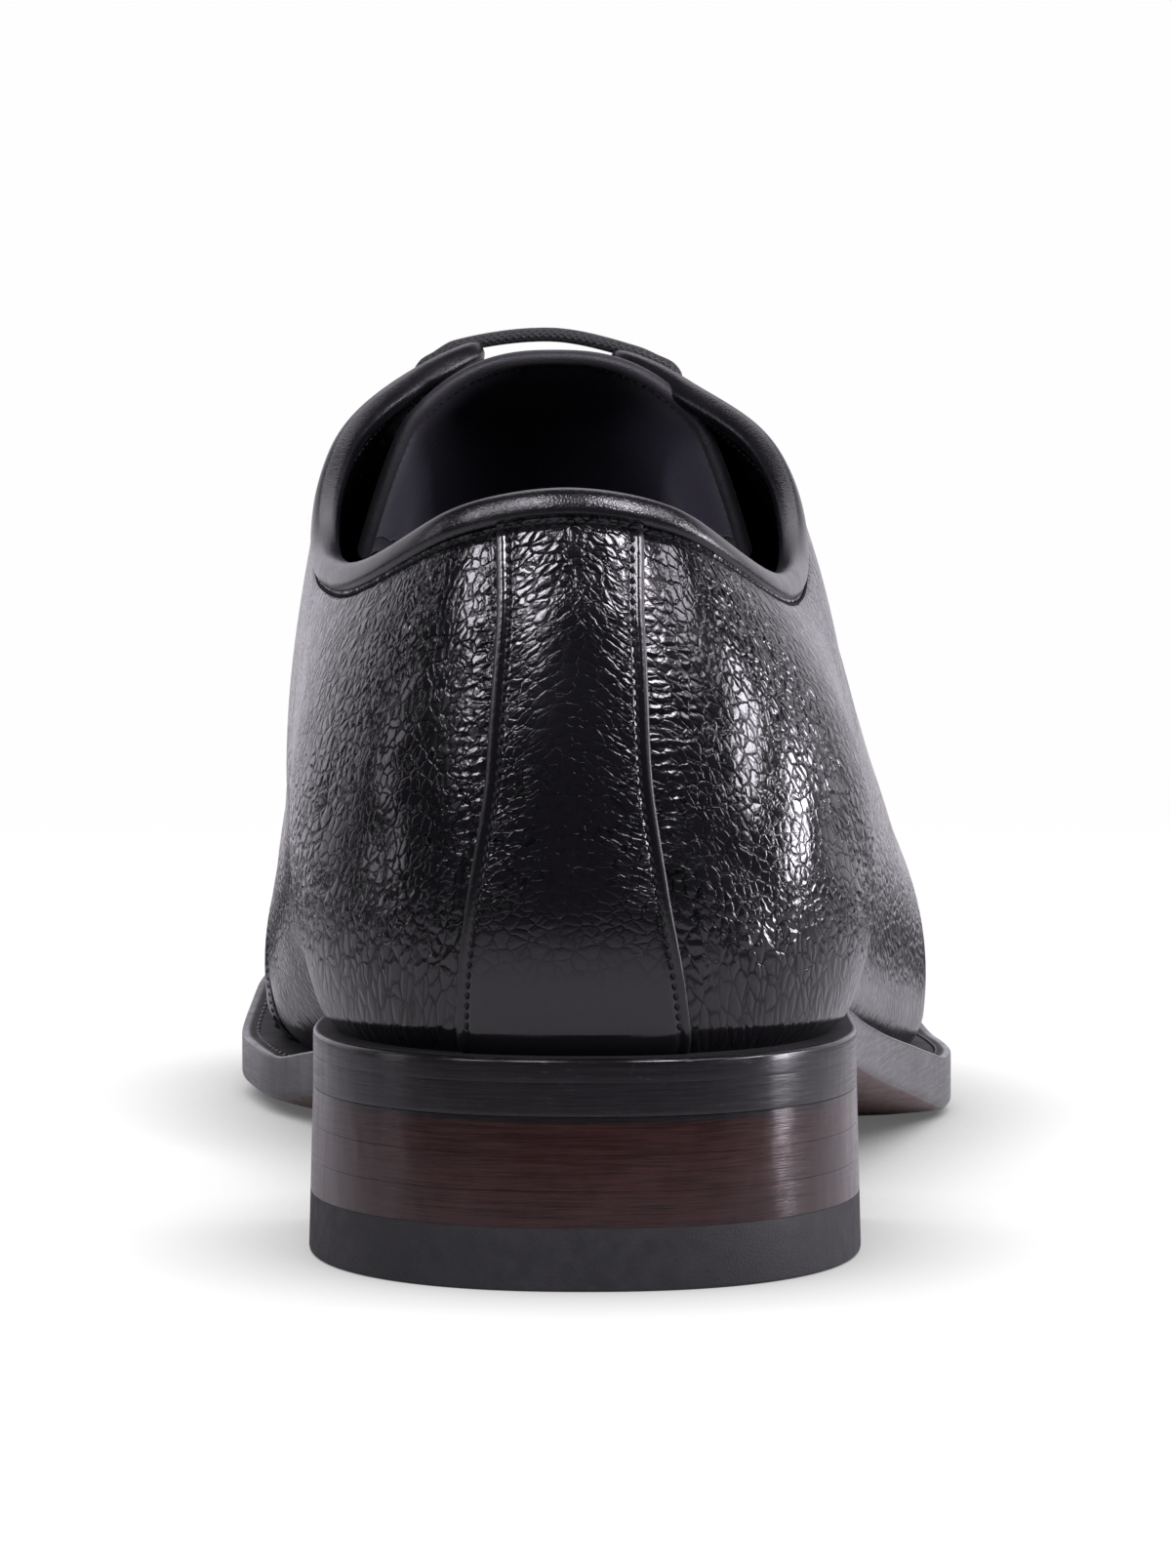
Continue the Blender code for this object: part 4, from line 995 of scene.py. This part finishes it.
spread = (tongueHalf(along) + tongueSet["widen"] * behind) * across[None, :]
top = np.stack((tongueSet["middle"] + tongueSet["shift"] * behind + spread, along, height), -1)
upward = fieldNormals(top)
toSide = runOf(top, 1)
toSide = np.minimum(toSide, toSide[:, -1:] - toSide)
toFree = runOf(top, 0)
toRoot = toFree[-1:] - toFree
fromEdge = np.minimum(np.minimum(toSide, toFree), toRoot)
thin = rounded(fromEdge, tongueSet["soft"])
rim = tongueSet["rim"] * np.exp(-(((fromEdge - tongueSet["rimIn"]) / tongueSet["rimWidth"]) ** 2))
sewn = tongueSet["rowDeep"] * np.exp(-(((fromEdge - tongueSet["row"]) / tongueSet["rowWidth"]) ** 2))
body = (tongueSet["thick"] + rim - sewn) * thin
tongueUnder = top - upward * (tongueSet["thick"] / 2 + body / 2)[..., None]
tongueUpper = top - upward * (tongueSet["thick"] / 2 - body / 2)[..., None]
tongueOut, tongueFrom = upward, fromEdge
bandLow, bandHigh = tongueSet["row"] - tongueSet["bandSoft"], tongueSet["row"] + tongueSet["bandSoft"]
band = 1 - smoothStep(bandLow, bandHigh, fromEdge)
lower = addSheet("tongueUnder", tongueUnder[:, ::-1], {"band": band[:, ::-1]})
tongue = addSheet("tongue_leaf", tongueUpper, {"band": np.ones((1, 1))})
deselect()
lower.select_set(True)
tongue.select_set(True)
bpy.context.view_layer.objects.active = tongue
bpy.ops.object.join()
weld(tongue, True)
finishPiece(tongue, (tongueLeather,), ["tongue"], angle=60)
print("tongue:", len(tongue.data.polygons), "faces")

# Laces: straight bars, each down through its pair of eyelets
laceSet = {
    "radius": 0.95, "arch": 0.085, "steps": 96, "round": 16, "pitch": 6.0, "ends": (0.0, 0.7, 0.95),
    "through": ((-1.7, 0.0), (-0.6, 0.0), (0.5, 0.15)),  # up out of the leather, towards the throat
    "over": ((0.25, 1.5), (0.45, eyeletSet["setback"] * 0.55)), "edgeLift": 0.55,
    "forward": (0.0, 1.0, 0.3),
}
for number, pair in enumerate(eyelets, 1):
    ends = []
    for (middle, out), side in zip(pair, (-1, 1)):
        edge = ribPoint(eyeletRibs[number - 1], side, 1.0)
        inward = unit(edge - middle)
        over = laceSet["radius"] + shoe["gap"]
        points = [middle + out * up + inward * on for up, on in laceSet["through"]]
        points += [middle + out * (over + up) + inward * on for up, on in laceSet["over"]]
        ends.append(points + [edge + out * (over + laceSet["edgeLift"])])
    span = np.linalg.norm(ends[0][-1] - ends[1][-1])
    peak = (ends[0][-1] + ends[1][-1]) / 2 + (0, 0, laceSet["arch"] * span)
    route = np.array(ends[0] + [peak] + ends[1][::-1])
    stops = runOf(route, 0)
    travel = np.linspace(0, stops[-1], laceSet["steps"] + 1)
    line = np.stack([through(stops, route[:, k])(travel) for k in range(3)], -1)
    ahead = unit(np.gradient(line, axis=0))
    aside = unit(np.cross(ahead, laceSet["forward"]))
    above = np.cross(aside, ahead)
    angle = np.linspace(0, 2 * math.pi, laceSet["round"] + 1)
    closing = np.ones(len(line))
    closing[:3] = closing[-3:][::-1] = laceSet["ends"]
    around = np.cos(angle)[None, :, None] * aside[:, None] + np.sin(angle)[None, :, None] * above[:, None]
    field = line[:, None] + around * (laceSet["radius"] * closing)[:, None, None]
    field[:, -1] = field[:, 0]
    marks = {"around": (angle / (2 * math.pi))[None, :], "travel": (travel / laceSet["pitch"])[:, None]}
    lace = addSheet(f"lace_{number}", field, marks, closed=True)
    finishPiece(lace, (laceCord,), [f"lace_bar_{number}"], angle=60)
print("laces:", len(eyelets))

# Sole: closed lofts round the plan
soleSet = {
    "stations": 170, "corner": 1.1, "heelCorner": 0.03, "cornerFrom": (68, 84), "turns": 6, "weltRound": 0.4,
    "deep": 26.0, "treadInsets": (19.0, 13.0, 9.0, 5.5, 3.0),
    "curlEnd": 0.9, "curlPower": 1.6, "curlLift": 0.05,
    "wallFrom": 0.15, "wallTo": 0.97, "wallRows": 7, "topInset": 6.0, "topLift": 0.1,
    "seamIn": 0.004, "seamGap": 0.005, "wear": 0.35, "treadFacing": -0.75,
}
turns = (1 - np.cos(np.linspace(0, math.pi, soleSet["stations"] + 1))) / 2


def planRing(start, end, inset):  # out along the lateral side, back along the medial one
    along = start + (end - start) * turns
    sides = [np.stack((planAcross(along, side, start, end, inset(along)), along), -1) for side in (1, -1)]
    return np.concatenate((sides[0], sides[1][-2::-1]))


def soleRing(inset):
    return planRing(shoe["heelFlare"] + inset, shoe["length"] - inset, lambda along: inset + 0 * along)


def upperRing(inset):
    return planRing(ribTable[0, 0] + inset, ribTable[-1, 0] - inset, lambda along: weltLedge(along) + inset)


def atHeight(ring, height):
    return np.concatenate((ring, np.broadcast_to(height, ring.shape[:1])[:, None]), -1)


def spineOf(ring):  # the ring drawn onto the sole's middle line
    return np.stack((soleMiddle(ring[:, 1]), ring[:, 1]), -1)


def curlOf(ring):
    return np.where(ring[:, 0] > soleMiddle(ring[:, 1]), curlLateral(ring[:, 1]), curlMedial(ring[:, 1]))


rows = []
deep = soleRing(soleSet["deep"])
rows.append(atHeight(spineOf(deep), treadHeight(deep[:, 1])))
rows.append(atHeight(deep, treadHeight(deep[:, 1])))
for inset in soleSet["treadInsets"]:
    ring = soleRing(inset)
    bend = np.clip((shoe["treadEdge"] - inset) / (shoe["treadEdge"] - soleSet["curlEnd"]), 0, 1)
    rows.append(atHeight(ring, treadHeight(ring[:, 1]) + curlOf(ring) * bend ** soleSet["curlPower"]))
edge = soleRing(0.0)
inFront = smoothStep(*soleSet["cornerFrom"], edge[:, 1])
corner = soleSet["heelCorner"] + (soleSet["corner"] - soleSet["heelCorner"]) * inFront
outwards = unit(edge - soleRing(1.0))
base = treadHeight(edge[:, 1]) + curlOf(edge)
underRows = len(rows)
quarterTurn = np.linspace(0, math.pi / 2, soleSet["turns"])
for turn in quarterTurn:
    drawn = edge - outwards * (corner * (1 - math.sin(turn)))[:, None]
    rows.append(atHeight(drawn, base + soleSet["curlLift"] + corner * (1 - math.cos(turn))))
seam = outsoleTop(edge[:, 1]) + shoe["gap"] / 2
for part in np.linspace(soleSet["wallFrom"], soleSet["wallTo"], soleSet["wallRows"]):
    rows.append(atHeight(edge, base + corner + (seam - base - corner) * part))
rows.append(atHeight(edge - outwards * soleSet["seamIn"], seam - soleSet["seamGap"]))
topRing = soleRing(soleSet["topInset"])
rows.append(atHeight(topRing, outsoleTop(topRing[:, 1]) + soleSet["topLift"]))
rows.append(atHeight(spineOf(deep), outsoleTop(deep[:, 1]) + soleSet["topLift"]))
field = np.array(rows)
rim = np.zeros(field.shape[:2])
rim[underRows:-3] = soleSet["wear"]
outsole = addSheet("outsole_body", field, {"rim": rim}, closed=True)
finishPiece(outsole, (edgeDressing, soleLeather), ["outsole"], angle=50)
for face in outsole.data.polygons:
    if face.normal.z < soleSet["treadFacing"]:
        face.material_index = 1
print("outsole:", len(outsole.data.polygons), "faces")

# Welt: rounded rim, shallow channel for its stitches in front of the heel
weltSet = {
    "wall": (0.35, 0.7), "lip": 0.06, "top": (0.1, 0.22, 0.32, 0.42, 0.52, 0.62, 0.8, 1.0),
    "row": 0.42, "channel": 0.08, "channelWidth": 0.09, "channelFrom": (70, 82), "sewnFrom": 80,
    "stitch": {"pitch": 2.8, "long": 2.3, "thick": 0.3, "sink": 0.26},
}
inner = upperRing(shoe["insoleIn"] - shoe["gap"])
topAt = weltTop(edge[:, 1])
rows = [atHeight(edge - outwards * soleSet["seamIn"], seam + soleSet["seamGap"])]
rows.append(atHeight(edge, seam + weltSet["lip"]))
for part in weltSet["wall"]:
    rows.append(atHeight(edge, seam + (topAt - soleSet["weltRound"] - seam) * part))
for turn in quarterTurn:
    drawn = edge - outwards * (soleSet["weltRound"] * (1 - math.cos(turn)))
    rows.append(atHeight(drawn, topAt - soleSet["weltRound"] * (1 - math.sin(turn))))
rimRows = len(rows)
lip = rows[-1][:, :2]
foot = upperRing(0.0)
for part in weltSet["top"]:
    ring = lip + (foot - lip) * part
    channel = np.exp(-(((part - weltSet["row"]) / weltSet["channelWidth"]) ** 2))
    sunk = weltSet["channel"] * channel * smoothStep(*weltSet["channelFrom"], ring[:, 1])
    rows.append(atHeight(ring, weltTop(ring[:, 1]) - sunk))
rows.append(atHeight(inner, weltTop(inner[:, 1])))
rows.append(atHeight(inner, outsoleTop(inner[:, 1]) + shoe["gap"]))
rows.append(rows[0])
field = np.array(rows)
rim = np.zeros(field.shape[:2])
roundFrom = rimRows - soleSet["turns"]
rim[roundFrom:rimRows + 1] = 1.0
rim[:roundFrom] = soleSet["wear"]
flat = np.zeros(field.shape[:2])
flat[rimRows + 1:-1] = 1.0
welt = addSheet("welt_strip", field, {"rim": rim, "flat": flat}, closed=True)
finishPiece(welt, (edgeDressing,), ["welt"], angle=50)
print("welt:", len(welt.data.polygons), "faces")

# Sock: a soft dished insole
sockSet = {"inset": (0.0, 0.15, 0.6, 3.0, 8.0, 14.0, 20.0), "sink": (0.5, 0.2, 0.0, 0.15, 0.55, 0.85, 0.95),
           "middleSink": 1.0}
rimRing = upperRing(shoe["insoleIn"])
floorAt = outsoleTop(rimRing[:, 1]) + shoe["gap"]
rows = [atHeight(spineOf(rimRing), floorAt), atHeight(rimRing, floorAt)]
for inset, sink in zip(sockSet["inset"], sockSet["sink"]):
    ring = upperRing(shoe["insoleIn"] + inset)
    rows.append(atHeight(ring, weltTop(ring[:, 1]) + shoe["insoleRise"] - sink))
spine = spineOf(ring)
rows.append(atHeight(spine, weltTop(spine[:, 1]) + shoe["insoleRise"] - sockSet["middleSink"]))
sock = addSheet("sock_lining", np.array(rows), closed=True)
finishPiece(sock, (sockLeather,), ["insole"], angle=50)
print("sock:", len(sock.data.polygons), "faces")

# Heel: slabs cut to one outline, the top piece of rubber under three lifts
heelSet = {"turns": 90, "breastTurns": 24, "slack": 0.14, "softEdge": 0.02, "floorEdge": 0.45,
           "floorRound": ((0, 1), (0.15, 0.45), (0.5, 0.12), (1, 0))}  # shares of the floor edge: up, in


def heelOutline(grow):
    start, end = shoe["heelFlare"] - grow, shoe["length"] + grow
    along = start + (shoe["breast"] - start) * (1 - np.cos(np.linspace(0, math.pi / 2, heelSet["turns"] + 1)))
    sides = [np.stack((planAcross(along, side, start, end, -grow), along), -1) for side in (1, -1)]
    part = np.linspace(0, 1, heelSet["breastTurns"] + 1)[1:-1]
    breast = sides[0][-1] + (sides[1][-1] - sides[0][-1]) * part[:, None]
    breast[:, 1] -= shoe["breastHollow"] * 4 * part * (1 - part)
    return np.concatenate((sides[0], breast, sides[1][:0:-1]))


def addSlab(name, levels):  # a disc, reshaped to the outline and extruded level by level
    outlines = []
    for height, inset in levels:
        grow = shoe["heelFlare"] * (1 - height / shoe["seat"]) - inset
        ring = heelOutline(grow)
        outlines.append(toWorld(np.concatenate((ring, np.full((len(ring), 1), height)), -1)))
    deselect()
    bpy.ops.mesh.primitive_circle_add(vertices=len(outlines[0]), radius=1, fill_type="NGON")
    slab = bpy.context.active_object
    slab.name = slab.data.name = name
    slab.data.vertices.foreach_set("co", outlines[0].astype(np.float32).ravel())
    for outline in outlines[1:]:
        bpy.ops.object.mode_set(mode="EDIT")
        bpy.ops.mesh.select_mode(type="FACE")
        bpy.ops.mesh.extrude_region_move(TRANSFORM_OT_translate={"value": (0, 0, 1)})
        bpy.ops.object.mode_set(mode="OBJECT")
        raised = [vertex for vertex in slab.data.vertices if vertex.select]
        for vertex, place in zip(raised, outline):
            vertex.co = place
    weld(slab, True)
    return slab


slack, soft, floorEdge = heelSet["slack"], heelSet["softEdge"], heelSet["floorEdge"]
high = shoe["topPiece"] + slack
floorRound = [(floorEdge * up, floorEdge * inset) for up, inset in heelSet["floorRound"]]
topPiece = addSlab("heel_rubber", floorRound + [(high - soft, 0), (high, soft)])
finishPiece(topPiece, (heelRubber,), ["heel_top_piece"], angle=30)
lift = (shoe["seat"] - shoe["topPiece"] - shoe["gap"] * (shoe["lifts"] + 1)) / shoe["lifts"]
for i in range(shoe["lifts"]):
    low = shoe["topPiece"] + shoe["gap"] + i * (lift + shoe["gap"]) - slack
    high = low + lift + (2 * slack if i < shoe["lifts"] - 1 else slack + shoe["gap"] - soft)
    slab = addSlab(f"stack_lift_{i + 1}", [(low, soft), (low + soft, 0), (high - soft, 0), (high, soft)])
    finishPiece(slab, (liftLeather,), [f"heel_lift_{i + 1}"], angle=30)
print("heel slabs:", shoe["lifts"] + 1)

# Stitches: one modelled, then laid along each seam
stitchSet = {"pitch": 1.2, "long": 1.0, "thick": 0.22, "sink": 0.12, "lean": 7.0, "blunt": 0.75, "dive": 1.1}
deselect()
bpy.ops.mesh.primitive_uv_sphere_add(segments=8, ring_count=6, radius=1)
stitch = bpy.context.active_object
bpy.ops.object.mode_set(mode="EDIT")
bpy.ops.mesh.select_all(action="SELECT")
bpy.ops.transform.rotate(value=math.pi / 2, orient_axis="Y", center_override=(0, 0, 0))
bpy.ops.object.mode_set(mode="OBJECT")
stitchPoints = np.array([vertex.co for vertex in stitch.data.vertices])
stitchFaces = [list(face.vertices) for face in stitch.data.polygons]
stitchPoints[:, 0] = np.sign(stitchPoints[:, 0]) * np.abs(stitchPoints[:, 0]) ** stitchSet["blunt"]
bpy.data.objects.remove(stitch)


def alongRow(values, run, stops):
    return np.stack([np.interp(stops, run, values[:, k]) for k in range(3)], -1)


def sewRow(name, seams, material=seamThread, **changes):
    size = {**stitchSet, **changes}
    thick = size["thick"]
    x, y, z = stitchPoints[:, 0] * size["long"] / 2, stitchPoints[:, 1] * thick, stitchPoints[:, 2] * thick
    z = z - thick * size["dive"] * stitchPoints[:, 0] ** 2  # both ends go down into their holes
    z = z + thick - size["sink"]
    points, faces = [], []
    for line, out in seams:
        run = runOf(line, 0)
        count = int(run[-1] / size["pitch"])
        stops = (np.arange(count) + 0.5) * run[-1] / count
        place, above = alongRow(line, run, stops), unit(alongRow(out, run, stops))
        ahead = unit(alongRow(np.gradient(line, axis=0), run, stops))
        aside = unit(np.cross(above, ahead))
        ahead = unit(ahead + aside * math.tan(math.radians(size["lean"])))
        aside = np.cross(above, ahead)
        for i in range(count):
            base = len(points)
            laid = place[i] + x[:, None] * ahead[i] + y[:, None] * aside[i] + z[:, None] * above[i]
            points.extend(toWorld(laid))
            faces.extend([[base + k for k in face] for face in stitchFaces])
    mesh = bpy.data.meshes.new(name)
    mesh.from_pydata(points, [], faces)
    piece = bpy.data.objects.new(name, mesh)
    bpy.context.scene.collection.objects.link(piece)
    weld(piece, True)
    finishPiece(piece, (material,), (), angle=70)


def rowBelow(field, normals, target):  # a line round the quarters, at a distance below the top edge
    lines, outs = [], []
    for i in range(field.shape[1]):
        order = np.argsort(quarterBelow[:, i])
        run = quarterBelow[order, i]
        for source, kept in ((field, lines), (normals, outs)):
            kept.append([np.interp(target[i], run, source[order, i, k]) for k in range(3)])
    return np.array(lines), np.array(outs)


def roundBack(keep):  # from the inner side round the heel to the outer one
    return np.r_[len(ringR) - keep:len(ringR) - 1, 0:keep]


line, out = rowBelow(quarterField, quarterOut, seamInset(ringR))
line = line + out * (stripSet["lift"] * (1 - smoothStep(*stripSet["endsAt"], ringR)))[:, None]
order = roundBack(throatRib * upperSet["ribSteps"] + 3)
sewRow("collar_stitches", [(line[order], out[order])])

inside = quarterField - quarterOut * shoe["wall"]
line, out = rowBelow(inside, -quarterOut, np.full(len(ringR), quarterSet["liningRow"]))
order = roundBack(int(quarterSet["liningEnd"] * upperSet["ribSteps"]))
sewRow("lining_stitches", [(line[order], out[order])])

column = int(np.argmin(np.abs(stripEdge - stripSet["row"])))
seams = [(stripField[2:-3, k], stripOut[2:-3, k]) for k in (column, -1 - column)]
sewRow("strip_stitches", seams)

seams = []
for distance in vampSet["rows"]:
    column = int(np.argmin(np.abs(edgeSteps - distance)))
    seams.append([np.concatenate((part[2:-1, column], part[2:, -1 - column][::-1]))
                  for part in (vampField, vampOut)])
sewRow("vamp_stitches", seams, thick=vampSet["thread"], sink=vampSet["threadSink"])

# Round the tongue: up one side, along the free edge, down the other
inside = tongueFrom >= tongueSet["row"]
rowIndex = int(np.argmax(inside[:, inside.shape[1] // 2]))
first = int(np.argmax(inside[rowIndex + 1]))
last = inside.shape[1] - 1
spots = [(i, int(np.argmax(inside[i]))) for i in range(tongueSet["rowEnd"], rowIndex, -1)]
spots += [(int(np.argmax(inside[:, column])), column) for column in range(first, inside.shape[1] - first)]
spots += [(i, last - int(np.argmax(inside[i][::-1]))) for i in range(rowIndex + 1, tongueSet["rowEnd"] + 1)]
at = tuple(np.array(spots).T)
seams = [(tongueUpper[at], tongueOut[at]), (tongueUnder[at], -tongueOut[at])]
sewRow("tongue_stitches", seams, tongueThread)

ring = lip + (foot - lip) * weltSet["row"]
line = atHeight(ring, weltTop(ring[:, 1]) - weltSet["channel"])
front = np.where(ring[:, 1] > weltSet["sewnFrom"])[0]
out = np.tile((0.0, 0.0, 1.0), (len(front), 1))
sewRow("welt_stitches", [(line[front], out)], edgeDressing, **weltSet["stitch"])
print("stitches sewn")

# Floor, light and camera
stageSet = {"floor": 3.0, "white": 0.04, "bounce": 0.55, "dark": 0.02, "bounceEnd": (0.2, 0.36),
            "fade": (0.35, 1.0), "lit": 0.97, "shadeReach": 0.03, "shade": (0.1, 0.96, 0.1, 1.0),
            "tint": (1.0, 0.95, 1.05)}
deselect()
bpy.ops.mesh.primitive_circle_add(vertices=96, radius=stageSet["floor"], fill_type="NGON", location=(0, 0, 0))
floor = bpy.context.active_object
floor.name = "floor"
paper, tree, floorIn = newMaterial("floorPaper", Roughness=0.9, Specular_IOR_Level=0.1)
spread = put(tree, "ShaderNodeVectorMath", operation="LENGTH")
feed(tree, put(tree, "ShaderNodeTexCoord").outputs["Object"], spread.inputs[0])
feed(tree, ramp(tree, spread.outputs["Value"], *stageSet["fade"], 1.0, 0.0), floorIn["Alpha"])
seen = put(tree, "ShaderNodeLightPath").outputs["Is Camera Ray"]
away = ramp(tree, spread.outputs["Value"], *stageSet["bounceEnd"])
bounce = blendColour(tree, away, (stageSet["bounce"],) * 3, (stageSet["dark"],) * 3)
feed(tree, blendColour(tree, seen, bounce, (stageSet["white"],) * 3), floorIn["Base Color"])
feed(tree, (1, 1, 1, 1), floorIn["Emission Color"])
nearby = put(tree, "ShaderNodeAmbientOcclusion", samples=16)
nearby.inputs["Distance"].default_value = stageSet["shadeReach"]
openSky = ramp(tree, nearby.outputs["AO"], *stageSet["shade"], False)
shown = times(tree, seen, times(tree, openSky, stageSet["lit"]))
feed(tree, shown, floorIn["Emission Strength"])
floor.data.materials.append(paper)

worldSet = {"shown": 0.99, "back": 0.85, "front": 0.05, "top": 0.1, "backSpan": (0.35, 0.7),
            "topSpan": (0.55, 0.95)}
world = bpy.data.worlds.new("studio")
bpy.context.scene.world = world
world.use_nodes = True
tree = world.node_tree
tree.nodes.clear()
aim = put(tree, "ShaderNodeSeparateXYZ")
feed(tree, put(tree, "ShaderNodeTexCoord").outputs["Generated"], aim.inputs[0])
behind = ramp(tree, aim.outputs["Y"], *worldSet["backSpan"], worldSet["front"], worldSet["back"])
overhead = ramp(tree, aim.outputs["Z"], *worldSet["topSpan"], 0.0, worldSet["top"])
glow = put(tree, "ShaderNodeBackground")
feed(tree, calc(tree, "MAXIMUM", behind, overhead), glow.inputs["Strength"])
plain = put(tree, "ShaderNodeBackground")
plain.inputs["Strength"].default_value = worldSet["shown"]
glow.inputs["Color"].default_value = (*stageSet["tint"], 1)
plain.inputs["Color"].default_value = (1, 1, 1, 1)
pick = put(tree, "ShaderNodeMixShader")
feed(tree, put(tree, "ShaderNodeLightPath").outputs["Is Camera Ray"], pick.inputs[0])
feed(tree, glow.outputs[0], pick.inputs[1])
feed(tree, plain.outputs[0], pick.inputs[2])
feed(tree, pick.outputs[0], put(tree, "ShaderNodeOutputWorld").inputs["Surface"])

softboxes = {  # azimuth from the camera, elevation, roll, distance, width, height, brightness
    "rightHigh": (63, 32, -55, 1.1, 0.17, 0.5, 10.5),
    "rightMiddle": (82, 14, -58, 1.1, 0.15, 0.5, 20.0),
    "rightLow": (103, 2, -40, 1.1, 0.17, 0.4, 27.0),
    "left": (-96, 10, 0, 1.2, 0.3, 0.6, 1.9),
    "leftHigh": (-53, 24, 0, 1.2, 0.28, 0.3, 15.0),
    "leftLow": (-52, 11, 0, 1.2, 0.3, 0.3, 0.6),
    "frontRight": (32, 36, 0, 1.2, 0.34, 0.34, 32.0),
    "frontLeft": (-23, 34, 0, 1.2, 0.34, 0.34, 21.0),
    "top": (180, 62, 0, 1.3, 0.9, 0.6, 1.9),
}
aimPoint = Vector((0, -0.12, 0.055))
for name, (azimuth, elevation, roll, distance, width, height, bright) in softboxes.items():
    a, e = math.radians(azimuth), math.radians(elevation)
    away = Vector((math.sin(a) * math.cos(e), -math.cos(a) * math.cos(e), math.sin(e)))
    bpy.ops.object.light_add(type="AREA", location=aimPoint + away * distance)
    lamp = bpy.context.active_object
    lamp.name = "softbox_" + name
    turned = away.to_track_quat("Z", "Y") @ Quaternion((0, 0, 1), math.radians(roll))
    lamp.rotation_euler = turned.to_euler()
    lamp.data.shape = "RECTANGLE"
    lamp.data.size, lamp.data.size_y = width, height
    lamp.data.energy = bright * math.pi * width * height
    lamp.data.color = stageSet["tint"]
    lamp.visible_camera = False

# Camera: level with the collar, with the photo's horizon, in the photo's pixels
cameraSet = {"place": (-0.0008, -0.752, 0.084), "focal": 5520.0, "horizon": 555.0, "image": (1200, 1607),
             "aside": 0.5, "sensor": 36, "clip": (0.01, 20)}
bpy.ops.object.camera_add(location=cameraSet["place"])
camera = bpy.context.active_object
high = cameraSet["image"][1]
downward = math.atan((high / 2 - cameraSet["horizon"]) / cameraSet["focal"])
camera.rotation_euler = (math.pi / 2 - downward, 0, 0)
camera.data.sensor_fit = "VERTICAL"
camera.data.sensor_height = cameraSet["sensor"]
camera.data.lens = cameraSet["focal"] / high * cameraSet["sensor"]
camera.data.shift_x = cameraSet["aside"] / high
camera.data.clip_start, camera.data.clip_end = cameraSet["clip"]
bpy.context.scene.camera = camera
bpy.context.scene.view_settings.view_transform = "Standard"
